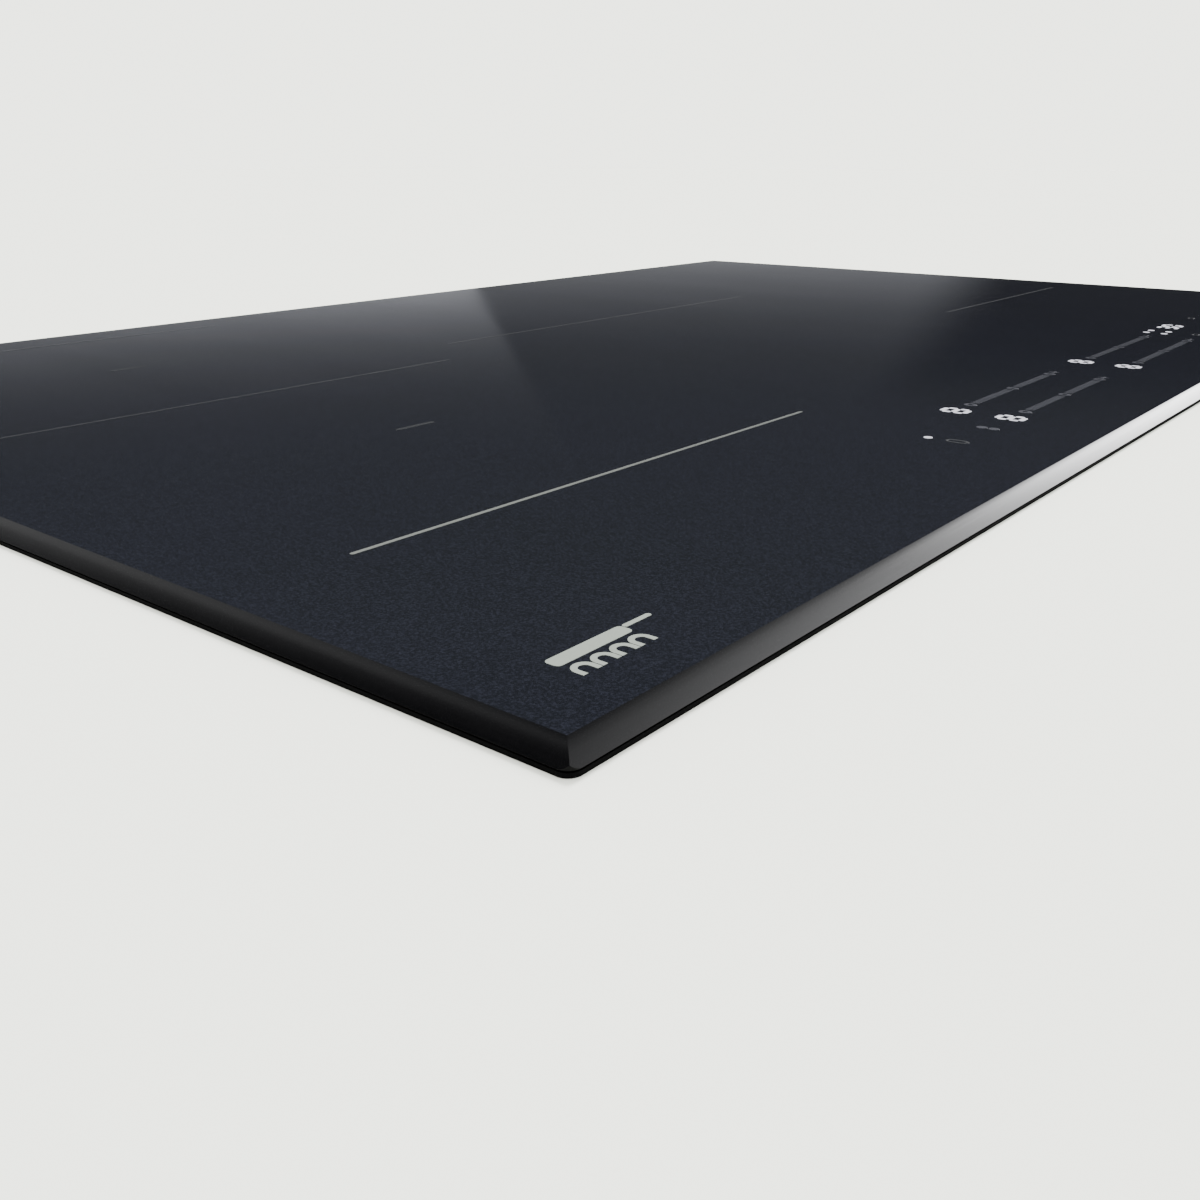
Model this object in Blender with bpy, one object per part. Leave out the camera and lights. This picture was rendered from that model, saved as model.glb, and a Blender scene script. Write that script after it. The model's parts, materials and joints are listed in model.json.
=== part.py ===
"""Built-in induction hob with a bevelled black glass top, made of separate named pieces.

Units are metres. +X is the hob's right, +Y its rear and +Z up. The underside of the steel
housing lies on z = 0 and the glass surface is the highest face.
"""
import math
from collections import namedtuple

import bmesh
import bpy
from mathutils import Matrix, Vector

# ---------------------------------------------------------------- overall sizes
GAP = 0.0003
HOB_WIDTH = 0.800
HOB_DEPTH = 0.510
HOB_HEIGHT = 0.055

GLASS_THICK = 0.004
GLASS_BEVEL_WIDTH = 0.0044
GLASS_BEVEL_DROP = 0.0038
GLASS_CORNER_RADIUS = 0.003
GLASS_BOTTOM = HOB_HEIGHT - GLASS_THICK

# seal under the rim of the glass
SEAL_THICK = 0.0010
SEAL_WIDTH = 0.008
SEAL_CORNER_POINTS = 7
WORKTOP_LEVEL = GLASS_BOTTOM - GAP - SEAL_THICK

# steel frame bonded under the glass
FRAME_WIDTH = 0.748
FRAME_DEPTH = 0.488
FRAME_THICK = 0.0012
FRAME_FLANGE = 0.012
FRAME_SKIRT_HEIGHT = 0.009
FRAME_CORNER_RADIUS = 0.012

# sheet-steel housing
TRAY_WIDTH = 0.744
TRAY_DEPTH = 0.484
TRAY_SHEET = 0.0008
TRAY_CORNER_RADIUS = 0.006
TRAY_TOP = GLASS_BOTTOM - GAP - FRAME_THICK - GAP

# worktop clamps in recesses at the housing's corners
CLAMP_PIVOT_X = 0.358
CLAMP_PIVOT_Y = 0.203
CLAMP_WIDTH = 0.014
CLAMP_SHEET = 0.002
CLAMP_REACH = 0.040
CLAMP_HEEL = 0.008
CLAMP_BEND = 0.026
CLAMP_RAMP = 0.008
CLAMP_LOW = 0.001
CLAMP_HEAD_LOW = 0.0003
CLAMP_HEAD_RADIUS = 0.0042
CLAMP_CAP_RADIUS = 0.0045
CLAMP_CAP_THICK = 0.0019
POCKET_HEIGHT = 0.010
POCKET_WIDTH = 0.026
POCKET_BEHIND_PIVOT = 0.012
POCKET_AHEAD_OF_PIVOT = 0.048
CLAMP_PIN_RADIUS = 0.0025
CLAMP_HOLE_RADIUS = 0.0030

# coil stack, from the carrier plate up to the glass
PLATE_BOTTOM = 0.0380
PLATE_THICK = 0.0015
PLATE_LEG_WIDTH = 0.068
LEAD_HOLE_RADIUS = 0.006
LEAD_HOLE_ACROSS = 0.55
LEAD_HOLE_ALONG = 0.80
FERRITE_THICK = 0.0035
FORMER_DECK = 0.0025
FORMER_RIM = 0.0035
FORMER_MARGIN = 0.003
FORMER_WALL = 0.0015
WINDING_THICK = 0.0035
MICA_THICK = 0.0005
MICA_MARGIN = 0.002
PLATE_TOP = PLATE_BOTTOM + PLATE_THICK
FERRITE_BOTTOM = PLATE_TOP + GAP
FORMER_BOTTOM = FERRITE_BOTTOM + FERRITE_THICK + GAP
WINDING_BOTTOM = FORMER_BOTTOM + FORMER_DECK + GAP
MICA_BOTTOM = WINDING_BOTTOM + WINDING_THICK + GAP

WINDING_PITCH = 0.0082
WINDING_TAPE = 0.0070
HUB_OUTSIDE = 0.016
HUB_HOLE = 0.010
SENSOR_RADIUS = 0.0075
SENSOR_STEM_RADIUS = 0.0035
SENSOR_CHAMFER = 0.001
FERRITE_ARMS = 8
FERRITE_ARM_WIDTH = 0.012
FERRITE_SETBACK = 0.006
FERRITE_HUB_RADIUS = 0.024
FERRITE_HOLE_RADIUS = 0.013

Coil = namedtuple("Coil", "x y half_x half_y corner turns corner_points")
COILS = {
    "left_front": Coil(-0.2511, -0.0569, 0.098, 0.0885, 0.045, 6, 4),
    "left_rear": Coil(-0.2511, 0.1301, 0.098, 0.0885, 0.045, 6, 4),
    "centre": Coil(0.0279, 0.0727, 0.128, 0.128, 0.128, 10, 6),
    "right": Coil(0.2635, -0.0702, 0.088, 0.088, 0.088, 7, 5),
}

# carrier plates: low x, high x, low y, high y
LEFT_PLATE = (-0.362, -0.128, -0.160, 0.232)
RIGHT_PLATE = (-0.118, 0.362, -0.166, 0.232)

# electronics on the housing floor
FLOOR_TOP = TRAY_SHEET + GAP
BOARD_TRAY_THICK = 0.002
BOARD_THICK = 0.0016
BOARD_BOTTOM = 0.0060
BOARD_TOP = BOARD_BOTTOM + BOARD_THICK
BOARD_TRAY_FRONT = -0.150
BOARD_TRAY_REAR = 0.085
POST_INSET = 0.0075
POST_RADIUS = 0.004
STUD_RADIUS = 0.003
BOARD_INSET = 0.015
LEFT_BOARD_TRAY_X = (-0.345, -0.130)
RIGHT_BOARD_TRAY_X = (-0.115, 0.345)
FILTER_TRAY = (-0.345, -0.238, 0.080, 0.192)
FILTER_BOARD = (-0.342, -0.242, 0.100, 0.189)
STUD_INSET = 0.008
BOARD_HOLE_INSET = 0.003
BOARD_HOLE_RADIUS = 0.0012
CAPACITOR_HALF = (0.016, 0.0225)
CAPACITOR_HEIGHT = 0.026
CAPACITOR_OFFSET = -0.075
CAPACITOR_Y = 0.030
CHOKE_HEIGHT = 0.016
CHOKE_BORE_SHARE = 0.45
CHOKE_SOFTNESS = 0.003
SIDE_CHOKE_OFFSET = -0.080
SIDE_CHOKE_Y = -0.060
SIDE_CHOKE_RADIUS = 0.022
FILTER_CHOKE_PLACE = (-0.308, 0.142)
FILTER_CHOKE_RADIUS = 0.018

FAN_X = 0.180
FAN_Y = 0.155
FAN_HALF = 0.046
FAN_HEIGHT = 0.023
FAN_WALL = 0.0015
FAN_CAVITY_RADIUS = 0.043
FAN_INTAKE_RADIUS = 0.030
FAN_OUTLET_HALF = 0.030
FAN_CORNER_RADIUS = 0.012
FAN_PIN_LOW = 0.009
FAN_PIN_RADIUS = 0.0020
FAN_MOUTH_DEPTH = 0.026
FAN_MOUTH_LIP = 0.0002
ROTOR_BORE_RADIUS = 0.0023
ROTOR_RADIUS = 0.0395
ROTOR_HUB_RADIUS = 0.012
ROTOR_HUB_LOW = 0.0080
ROTOR_DISC_LOW = 0.0170
ROTOR_DISC_HIGH = 0.0185
ROTOR_HOOP_LOW = 0.0032
ROTOR_HOOP_HIGH = 0.0046
ROTOR_HOOP_WIDTH = 0.003
ROTOR_BLADES = 16
BLADE_LENGTH = 0.008
BLADE_THICK = 0.001
BLADE_RADIUS = 0.0351
BLADE_SLANT = math.radians(35)

HEATSINK_WIDTH = 0.070
HEATSINK_LENGTH = 0.160
HEATSINK_REAR = 0.064
HEATSINK_FINS = 9
HEATSINK_FIN_THICK = 0.0018
HEATSINK_BASE = 0.004
HEATSINK_TOP = 0.0352
MODULE_THICK = 0.004
MODULE_HALF_WIDTH = 0.024
MODULE_FRONT = -0.070
MODULE_REAR = 0.030

# mains connection at the rear left
TERMINAL_X = -0.295
TERMINAL_BOX_WIDTH = 0.090
TERMINAL_BOX_DEPTH = 0.042
TERMINAL_BOX_HEIGHT = 0.033
TERMINAL_BOX_WALL = 0.002
TERMINAL_POLES = 5
TERMINAL_PITCH = 0.013
TERMINAL_HEIGHT = 0.017
TERMINAL_DEPTH = 0.021
WIRE_ENTRY_RADIUS = 0.0032
WIRE_ENTRY_DEPTH = 0.009
WIRE_ENTRY_RISE = 0.0055
SCREW_WELL_RADIUS = 0.0030
SCREW_WELL_DEPTH = 0.004
SCREW_WELL_SETBACK = 0.006
WINDOW_HALF_WIDTH = 0.040
WINDOW_LOW = 0.0065
WINDOW_HIGH = 0.034
SIDE_WINDOW_DEPTH = 0.010
SIDE_WINDOW_HALF_HEIGHT = 0.006
COVER_HALF_WIDTH = 0.0412
COVER_THICK = 0.0018
COVER_TOP = 0.0370
COVER_WALL_GAP = 0.0004
COVER_LIP_HALF = 0.012
COVER_LIP_REACH = 0.0022
COVER_LIP_BAND = (0.0040, 0.0015)
COVER_AXIS_Y = 0.2450
COVER_AXIS_Z = 0.0035
COVER_BARREL_RADIUS = 0.0016
COVER_PIN_RADIUS = 0.0010
EAR_THICK = 0.002
EAR_REACH = 0.0028
EAR_LOW = 0.0008
EAR_HIGH = 0.0064
EAR_HOLE_RADIUS = 0.00125
GLAND_X = -0.232
GLAND_Z = 0.020
GLAND_BORE_RADIUS = 0.005
GLAND_HOLE_RADIUS = 0.009
GLAND_NECK_RADIUS = 0.0086
GLAND_FLANGE_RADIUS = 0.0115
GLAND_NOSE_RADIUS = 0.0095
GLAND_INNER_FLANGE = 0.002
GLAND_OUTER_FLANGE = 0.003

# controls near the front edge
CONTROL_LEFT = -0.170
CONTROL_RIGHT = 0.285
CONTROL_FRONT = -0.2305
CONTROL_REAR = -0.1740
CONTROL_BOTTOM = 0.0370
CONTROL_WALL = 0.0015
CONTROL_TOP_CLEARANCE = 0.0010
CONTROL_BOARD_BOTTOM = 0.0412
DISPLAY_SIZE = (0.018, 0.017)
DISPLAYS = {
    "left_rear": (-0.1069, -0.1940),
    "left_front": (-0.1069, -0.2152),
    "right_rear": (0.0354, -0.1940),
    "right_front": (0.0354, -0.2152),
    "timer": (0.1908, -0.1935),
}

# vents
SLOT_WIDTH = 0.003
SLOT_PITCH = 0.0075
WALL_SLOT_LOW = 0.013
WALL_SLOT_HIGH = 0.032
WALL_SLOTS = 10
INTAKE_SLOTS = 7
FLOOR_SLOTS = 8
FLOOR_SLOT_FRONT = -0.225
FLOOR_SLOT_REAR = -0.195

# how far a cutting shape passes through what it cuts
EPS = 0.002
# how deep two shapes run into each other where they are joined
BITE = 0.0005


# ---------------------------------------------------------------- materials
def plain_material(name, colour, roughness, metallic):
    """Return a Principled material with one colour."""
    material = bpy.data.materials.new(name)
    material.use_nodes = True
    shader = material.node_tree.nodes["Principled BSDF"]
    shader.inputs["Base Color"].default_value = (*colour, 1.0)
    shader.inputs["Roughness"].default_value = roughness
    shader.inputs["Metallic"].default_value = metallic
    material.diffuse_color = (*colour, 1.0)
    return material


def black_glass():
    return plain_material("black_glass", (0.016, 0.019, 0.026), 0.10, 0.0)


def black_seal():
    return plain_material("black_seal", (0.012, 0.012, 0.013), 0.85, 0.0)


def zinc_steel():
    return plain_material("zinc_steel", (0.46, 0.48, 0.50), 0.42, 1.0)


def aluminium():
    return plain_material("aluminium", (0.72, 0.73, 0.75), 0.35, 1.0)


def black_plastic():
    return plain_material("black_plastic", (0.030, 0.031, 0.033), 0.55, 0.0)


def white_plastic():
    return plain_material("white_plastic", (0.70, 0.70, 0.66), 0.50, 0.0)


def copper_litz():
    return plain_material("copper_litz", (0.60, 0.27, 0.13), 0.38, 0.9)


def grey_ferrite():
    return plain_material("grey_ferrite", (0.065, 0.065, 0.070), 0.60, 0.1)


def pale_mica():
    return plain_material("pale_mica", (0.66, 0.58, 0.42), 0.70, 0.0)


def green_board():
    return plain_material("green_board", (0.030, 0.160, 0.065), 0.45, 0.0)


def dark_resin():
    return plain_material("dark_resin", (0.045, 0.045, 0.050), 0.50, 0.0)


def display_face():
    return plain_material("display_face", (0.080, 0.085, 0.095), 0.30, 0.0)


# ---------------------------------------------------------------- shape helpers
def new_body(vertices, faces):
    """Link a closed mesh with outward normals and return its object."""
    mesh = bpy.data.meshes.new("body")
    mesh.from_pydata(vertices, [], faces)
    work = bmesh.new()
    work.from_mesh(mesh)
    bmesh.ops.recalc_face_normals(work, faces=work.faces)
    work.to_mesh(mesh)
    work.free()
    body = bpy.data.objects.new("body", mesh)
    bpy.context.scene.collection.objects.link(body)
    return body


def outline(half_x, half_y, radius, corner_points):
    """Return a rounded rectangle; one point per corner gives a sharp rectangle."""
    step = math.pi / 2 / corner_points
    arm = radius / math.cos(step / 2)
    points = []
    for quarter, (side_x, side_y) in enumerate([(1, 1), (-1, 1), (-1, -1), (1, -1)]):
        for index in range(corner_points):
            angle = quarter * math.pi / 2 + (index + 0.5) * step
            x = side_x * (half_x - radius) + arm * math.cos(angle)
            y = side_y * (half_y - radius) + arm * math.sin(angle)
            points.append((x, y))
    return points


def circle(radius, count):
    """Return a circle of points around the origin."""
    return [
        (radius * math.cos(2 * math.pi * i / count), radius * math.sin(2 * math.pi * i / count))
        for i in range(count)
    ]


def layers_to_body(layers, closed_loop):
    """Join equal outlines (points, z) into a solid, or into a ring when the loop is closed."""
    count = len(layers[0][0])
    vertices = [(x, y, z) for points, z in layers for x, y in points]
    faces = []
    last = len(layers) if closed_loop else len(layers) - 1
    for level in range(last):
        low = level * count
        high = ((level + 1) % len(layers)) * count
        for i in range(count):
            j = (i + 1) % count
            faces.append((low + i, low + j, high + j, high + i))
    if not closed_loop:
        faces.append(tuple(range(count)))
        faces.append(tuple(range((len(layers) - 1) * count, len(layers) * count)))
    return new_body(vertices, faces)


def prism(points, low, high):
    """Return an upright prism over a flat outline."""
    return layers_to_body([(points, low), (points, high)], False)


def block(low_x, high_x, low_y, high_y, low_z, high_z):
    """Return a box between two corners."""
    points = [(low_x, low_y), (high_x, low_y), (high_x, high_y), (low_x, high_y)]
    return prism(points, low_z, high_z)


def round_ring(profile, count):
    """Turn a closed (radius, z) profile about Z into a ring."""
    return layers_to_body([(circle(radius, count), z) for radius, z in profile], True)


def round_body(profile, count):
    """Turn an open (radius, z) profile about Z into a solid with flat ends."""
    return layers_to_body([(circle(radius, count), z) for radius, z in profile], False)


def frame_ring(half_x, half_y, radius, corner_points, profile):
    """Sweep a closed (inset, z) profile around a rounded rectangle."""
    layers = []
    for inset, z in profile:
        shrunk = max(radius - inset, min(radius, GLASS_CORNER_RADIUS))
        layers.append((outline(half_x - inset, half_y - inset, shrunk, corner_points), z))
    return layers_to_body(layers, True)


def side_prism(points, low_x, high_x):
    """Extrude a (y, z) outline along X."""
    count = len(points)
    vertices = [(low_x, y, z) for y, z in points] + [(high_x, y, z) for y, z in points]
    faces = [tuple(range(count)), tuple(range(count, 2 * count))]
    for i in range(count):
        j = (i + 1) % count
        faces.append((i, j, count + j, count + i))
    return new_body(vertices, faces)


def front_prism(points, low_y, high_y):
    """Extrude an (x, z) outline along Y."""
    body = side_prism([(x, z) for x, z in points], low_y, high_y)
    swap = Matrix(((0, 1, 0, 0), (1, 0, 0, 0), (0, 0, 1, 0), (0, 0, 0, 1)))
    body.data.transform(swap)
    body.data.flip_normals()
    return body


def shift(body, x, y, z):
    """Move the mesh itself."""
    body.data.transform(Matrix.Translation(Vector((x, y, z))))
    return body


def turn(body, angle, axis):
    """Rotate the mesh itself about an axis through the origin."""
    body.data.transform(Matrix.Rotation(angle, 4, axis))
    return body


def combine(body, tool, operation):
    """Apply one exact boolean to the body and use up the tool."""
    step = body.modifiers.new("combine", "BOOLEAN")
    step.operation = operation
    step.solver = "EXACT"
    step.object = tool
    graph = bpy.context.evaluated_depsgraph_get()
    solved = bpy.data.meshes.new_from_object(body.evaluated_get(graph))
    body.modifiers.clear()
    spent = body.data
    body.data = solved
    bpy.data.meshes.remove(spent)
    bpy.data.objects.remove(tool)
    return body


def cut(body, tool):
    return combine(body, tool, "DIFFERENCE")


def add(body, tool):
    return combine(body, tool, "UNION")


def group(bodies):
    """Gather separate, clear shapes into one object, for use as a tool."""
    work = bmesh.new()
    for body in bodies:
        work.from_mesh(body.data)
        bpy.data.objects.remove(body)
    mesh = bpy.data.meshes.new("group")
    work.to_mesh(mesh)
    work.free()
    joined = bpy.data.objects.new("group", mesh)
    bpy.context.scene.collection.objects.link(joined)
    return joined


def finish(body, name, material, origin, smooth=False):
    """Name the piece, give it its material and set its origin, keeping the mesh in place."""
    body.data.transform(Matrix.Translation(-Vector(origin)))
    body.location = origin
    body.name = name
    body.data.name = name
    body.data.materials.clear()
    body.data.materials.append(material)
    for face in body.data.polygons:
        face.use_smooth = smooth
    if smooth:
        body.data.set_sharp_from_angle(angle=math.radians(35))
    return body


# ---------------------------------------------------------------- glass and housing
def glass_top(material):
    """Glass plate with a wide bevel, sharp mitres above and softly rounded lower corners."""
    half_x = HOB_WIDTH / 2
    half_y = HOB_DEPTH / 2
    per_corner = 5
    inner_x = half_x - GLASS_BEVEL_WIDTH
    inner_y = half_y - GLASS_BEVEL_WIDTH
    top = outline(inner_x, inner_y, 0.0, 1)
    edge = outline(half_x, half_y, GLASS_CORNER_RADIUS, per_corner)
    count = len(edge)
    vertices = [(x, y, HOB_HEIGHT) for x, y in top]
    vertices += [(x, y, HOB_HEIGHT - GLASS_BEVEL_DROP) for x, y in edge]
    vertices += [(x, y, GLASS_BOTTOM) for x, y in edge]
    faces = [(0, 1, 2, 3), tuple(range(4 + count, 4 + 2 * count))]
    for i in range(count):
        j = (i + 1) % count
        corner = i // per_corner
        faces.append((4 + i, 4 + j, 4 + count + j, 4 + count + i))
        if i % per_corner == per_corner - 1:
            faces.append((corner, 4 + i, 4 + j, (corner + 1) % 4))
        else:
            faces.append((corner, 4 + i, 4 + j))
    body = new_body(vertices, faces)
    return finish(body, "glass_top", material, (0, 0, GLASS_BOTTOM))


def rim_seal(material):
    """Flat black seal between the glass rim and the worktop, flush with the rim."""
    low = WORKTOP_LEVEL
    high = GLASS_BOTTOM - GAP
    profile = [(0, low), (0, high), (SEAL_WIDTH, high), (SEAL_WIDTH, low)]
    body = frame_ring(HOB_WIDTH / 2, HOB_DEPTH / 2, GLASS_CORNER_RADIUS, SEAL_CORNER_POINTS, profile)
    return finish(body, "rim_seal", material, (0, 0, low))


def support_frame(material):
    """Steel frame: a flange bonded under the glass and a skirt inside the housing."""
    high = GLASS_BOTTOM - GAP
    low = high - FRAME_THICK
    skirt = (FRAME_WIDTH - TRAY_WIDTH) / 2 + TRAY_SHEET + GAP
    foot = low - FRAME_SKIRT_HEIGHT
    profile = [
        (0, low),
        (0, high),
        (FRAME_FLANGE, high),
        (FRAME_FLANGE, low),
        (skirt + FRAME_THICK, low),
        (skirt + FRAME_THICK, foot),
        (skirt, foot),
        (skirt, low),
    ]
    body = frame_ring(FRAME_WIDTH / 2, FRAME_DEPTH / 2, FRAME_CORNER_RADIUS, 3, profile)
    return finish(body, "support_frame", material, (0, 0, low))


def pocket_block(side_x, side_y, margin):
    """Space of one clamp recess, larger by a margin on its inner sides."""
    inner_x = TRAY_WIDTH / 2 - POCKET_WIDTH - margin
    outer_x = TRAY_WIDTH / 2 + EPS + margin
    near_y = CLAMP_PIVOT_Y + POCKET_BEHIND_PIVOT + margin
    far_y = CLAMP_PIVOT_Y - POCKET_AHEAD_OF_PIVOT - margin
    xs = sorted((side_x * inner_x, side_x * outer_x))
    ys = sorted((side_y * near_y, side_y * far_y))
    return block(*xs, *ys, -EPS - margin, POCKET_HEIGHT + margin)


def all_pockets(margin):
    """The four clamp recesses as one tool."""
    corners = [(-1, -1), (1, -1), (-1, 1), (1, 1)]
    return group([pocket_block(side_x, side_y, margin) for side_x, side_y in corners])


def fan_intake_slots(centre_x):
    """Parallel floor slots that fill a circle below one fan."""
    slots = []
    for index in range(INTAKE_SLOTS):
        offset = (index - (INTAKE_SLOTS - 1) / 2) * SLOT_PITCH
        half = math.sqrt(FAN_INTAKE_RADIUS ** 2 - offset ** 2)
        x = centre_x + offset
        slots.append(
            block(x - SLOT_WIDTH / 2, x + SLOT_WIDTH / 2, FAN_Y - half, FAN_Y + half, -EPS, 2 * EPS)
        )
    return slots


def wall_slots(centre_x, side_y):
    """Upright slots through the front (-1) or rear (1) wall."""
    wall = side_y * TRAY_DEPTH / 2
    slots = []
    for index in range(WALL_SLOTS):
        x = centre_x + (index - (WALL_SLOTS - 1) / 2) * SLOT_PITCH
        slots.append(
            block(x - SLOT_WIDTH / 2, x + SLOT_WIDTH / 2, wall - 2 * EPS, wall + 2 * EPS,
                  WALL_SLOT_LOW, WALL_SLOT_HIGH)
        )
    return slots


def floor_outlet_slots(centre_x):
    """Slots in the floor along the front edge, where warm air leaves."""
    slots = []
    for index in range(FLOOR_SLOTS):
        x = centre_x + (index - (FLOOR_SLOTS - 1) / 2) * SLOT_PITCH
        slots.append(
            block(x - SLOT_WIDTH / 2, x + SLOT_WIDTH / 2, FLOOR_SLOT_FRONT, FLOOR_SLOT_REAR, -EPS, 2 * EPS)
        )
    return slots


def upright_cylinders(places, radius, low, high, count):
    """Equal upright cylinders at several (x, y) places, as one tool."""
    bodies = []
    for x, y in places:
        bodies.append(shift(round_body([(radius, low), (radius, high)], count), x, y, 0))
    return group(bodies)


def clamp_places():
    """Pivot positions of the four clamps, by name."""
    return {
        "front_left": (-CLAMP_PIVOT_X, -CLAMP_PIVOT_Y),
        "front_right": (CLAMP_PIVOT_X, -CLAMP_PIVOT_Y),
        "rear_left": (-CLAMP_PIVOT_X, CLAMP_PIVOT_Y),
        "rear_right": (CLAMP_PIVOT_X, CLAMP_PIVOT_Y),
    }


def cylinder_along_x(radius, low_x, high_x, y, z, count):
    """Cylinder lying along X."""
    body = round_body([(radius, low_x), (radius, high_x)], count)
    turn(body, math.pi / 2, "Y")
    return shift(body, 0, y, z)


def cylinder_along_y(radius, low_y, high_y, x, z, count):
    """Cylinder lying along Y."""
    body = round_body([(radius, low_y), (radius, high_y)], count)
    turn(body, -math.pi / 2, "X")
    return shift(body, x, 0, z)


def cover_ear_blocks():
    """Two lugs on the rear wall that hold the terminal cover's pins."""
    ears = []
    for side in (-1, 1):
        near = TERMINAL_X + side * (COVER_HALF_WIDTH + GAP)
        far = near + side * EAR_THICK
        low_x, high_x = sorted((near, far))
        wall = TRAY_DEPTH / 2
        ears.append(
            block(low_x, high_x, wall - TRAY_SHEET / 2, COVER_AXIS_Y + EAR_REACH, EAR_LOW, EAR_HIGH)
        )
    return group(ears)


def terminal_window():
    """Opening in the rear wall behind the terminal cover, as a tool."""
    wall = TRAY_DEPTH / 2
    return block(TERMINAL_X - WINDOW_HALF_WIDTH, TERMINAL_X + WINDOW_HALF_WIDTH,
                 wall - 2 * EPS, wall + 2 * EPS, WINDOW_LOW, WINDOW_HIGH)


def bottom_tray(material):
    """Sheet-steel housing with clamp recesses, vents, terminal window and gland hole."""
    half_x = TRAY_WIDTH / 2
    half_y = TRAY_DEPTH / 2
    outer = outline(half_x, half_y, TRAY_CORNER_RADIUS, 3)
    inner = outline(half_x - TRAY_SHEET, half_y - TRAY_SHEET, TRAY_CORNER_RADIUS - TRAY_SHEET, 3)
    hollow = prism(inner, TRAY_SHEET, TRAY_TOP + EPS)
    cut(hollow, all_pockets(TRAY_SHEET))
    body = prism(outer, 0, TRAY_TOP)
    cut(body, hollow)
    cut(body, all_pockets(0))
    add(body, cover_ear_blocks())
    slots = fan_intake_slots(-FAN_X) + fan_intake_slots(FAN_X)
    slots += floor_outlet_slots(-FAN_X) + floor_outlet_slots(FAN_X)
    slots += wall_slots(-FAN_X, -1) + wall_slots(FAN_X, -1) + wall_slots(FAN_X, 1)
    slots.append(terminal_window())
    cut(body, group(slots))
    pivots = clamp_places().values()
    cut(body, upright_cylinders(pivots, CLAMP_HOLE_RADIUS, POCKET_HEIGHT - EPS, POCKET_HEIGHT + EPS, 12))
    cut(body, cylinder_along_y(GLAND_HOLE_RADIUS, half_y - EPS, half_y + EPS, GLAND_X, GLAND_Z, 16))
    reach = COVER_HALF_WIDTH + 2 * EAR_THICK
    cut(body, cylinder_along_x(EAR_HOLE_RADIUS, TERMINAL_X - reach, TERMINAL_X + reach,
                               COVER_AXIS_Y, COVER_AXIS_Z, 10))
    return finish(body, "bottom_tray", material, (0, 0, 0))


def clamp(name, place, material):
    """Cranked steel strap with its pin; the tip presses up under the worktop when swung out."""
    x, y = place
    low = CLAMP_LOW
    tip_top = POCKET_HEIGHT - BITE
    strap = [
        (-CLAMP_HEEL, low),
        (CLAMP_BEND, low),
        (CLAMP_BEND + CLAMP_RAMP, tip_top - CLAMP_SHEET),
        (CLAMP_REACH, tip_top - CLAMP_SHEET),
        (CLAMP_REACH, tip_top),
        (CLAMP_BEND + CLAMP_RAMP - CLAMP_SHEET / 2, tip_top),
        (CLAMP_BEND - CLAMP_SHEET / 2, low + CLAMP_SHEET),
        (-CLAMP_HEEL, low + CLAMP_SHEET),
    ]
    body = side_prism(strap, -CLAMP_WIDTH / 2, CLAMP_WIDTH / 2)
    roof = POCKET_HEIGHT + TRAY_SHEET
    pin = [
        (CLAMP_HEAD_RADIUS, CLAMP_HEAD_LOW),
        (CLAMP_HEAD_RADIUS, low + BITE),
        (CLAMP_PIN_RADIUS, low + 2 * BITE),
        (CLAMP_PIN_RADIUS, roof + GAP),
        (CLAMP_CAP_RADIUS, roof + GAP),
        (CLAMP_CAP_RADIUS, roof + GAP + CLAMP_CAP_THICK),
    ]
    add(body, round_body(pin, 12))
    if y > 0:
        turn(body, math.pi, "Z")
    shift(body, x, y, 0)
    return finish(body, "clamp_" + name, material, (x, y, 0))


# ---------------------------------------------------------------- coils
def carrier_plate(name, limits, coil_names, material):
    """Aluminium sheet under the coils, with a folded rear leg and holes for leads."""
    low_x, high_x, low_y, high_y = limits
    body = block(low_x, high_x, low_y, high_y, PLATE_BOTTOM, PLATE_TOP)
    leg_x = -FAN_X if name == "left" else FAN_X
    leg = block(leg_x - PLATE_LEG_WIDTH / 2, leg_x + PLATE_LEG_WIDTH / 2,
                high_y - PLATE_THICK, high_y - PLATE_THICK / 10, FLOOR_TOP, PLATE_BOTTOM + BITE)
    add(body, leg)
    holes = []
    for coil_name in coil_names:
        coil = COILS[coil_name]
        for side in (-1, 1):
            x = coil.x + side * coil.half_x * LEAD_HOLE_ACROSS
            holes.append((x, coil.y + coil.half_y * LEAD_HOLE_ALONG))
            holes.append((x, coil.y - coil.half_y * LEAD_HOLE_ALONG))
    cut(body, upright_cylinders(holes, LEAD_HOLE_RADIUS, PLATE_BOTTOM - EPS, PLATE_TOP + EPS, 10))
    origin = ((low_x + high_x) / 2, (low_y + high_y) / 2, PLATE_BOTTOM)
    return finish(body, "carrier_plate_" + name, material, origin)


def coil_reach(coil, angle):
    """Distance from a coil's centre to its edge in one direction."""
    edge = outline(coil.half_x, coil.half_y, coil.corner, 18)
    toward = Vector((math.cos(angle), math.sin(angle)))
    return max((Vector(point).length for point in edge if Vector(point).angle(toward) < math.radians(5)),
               default=coil.half_y)


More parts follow.
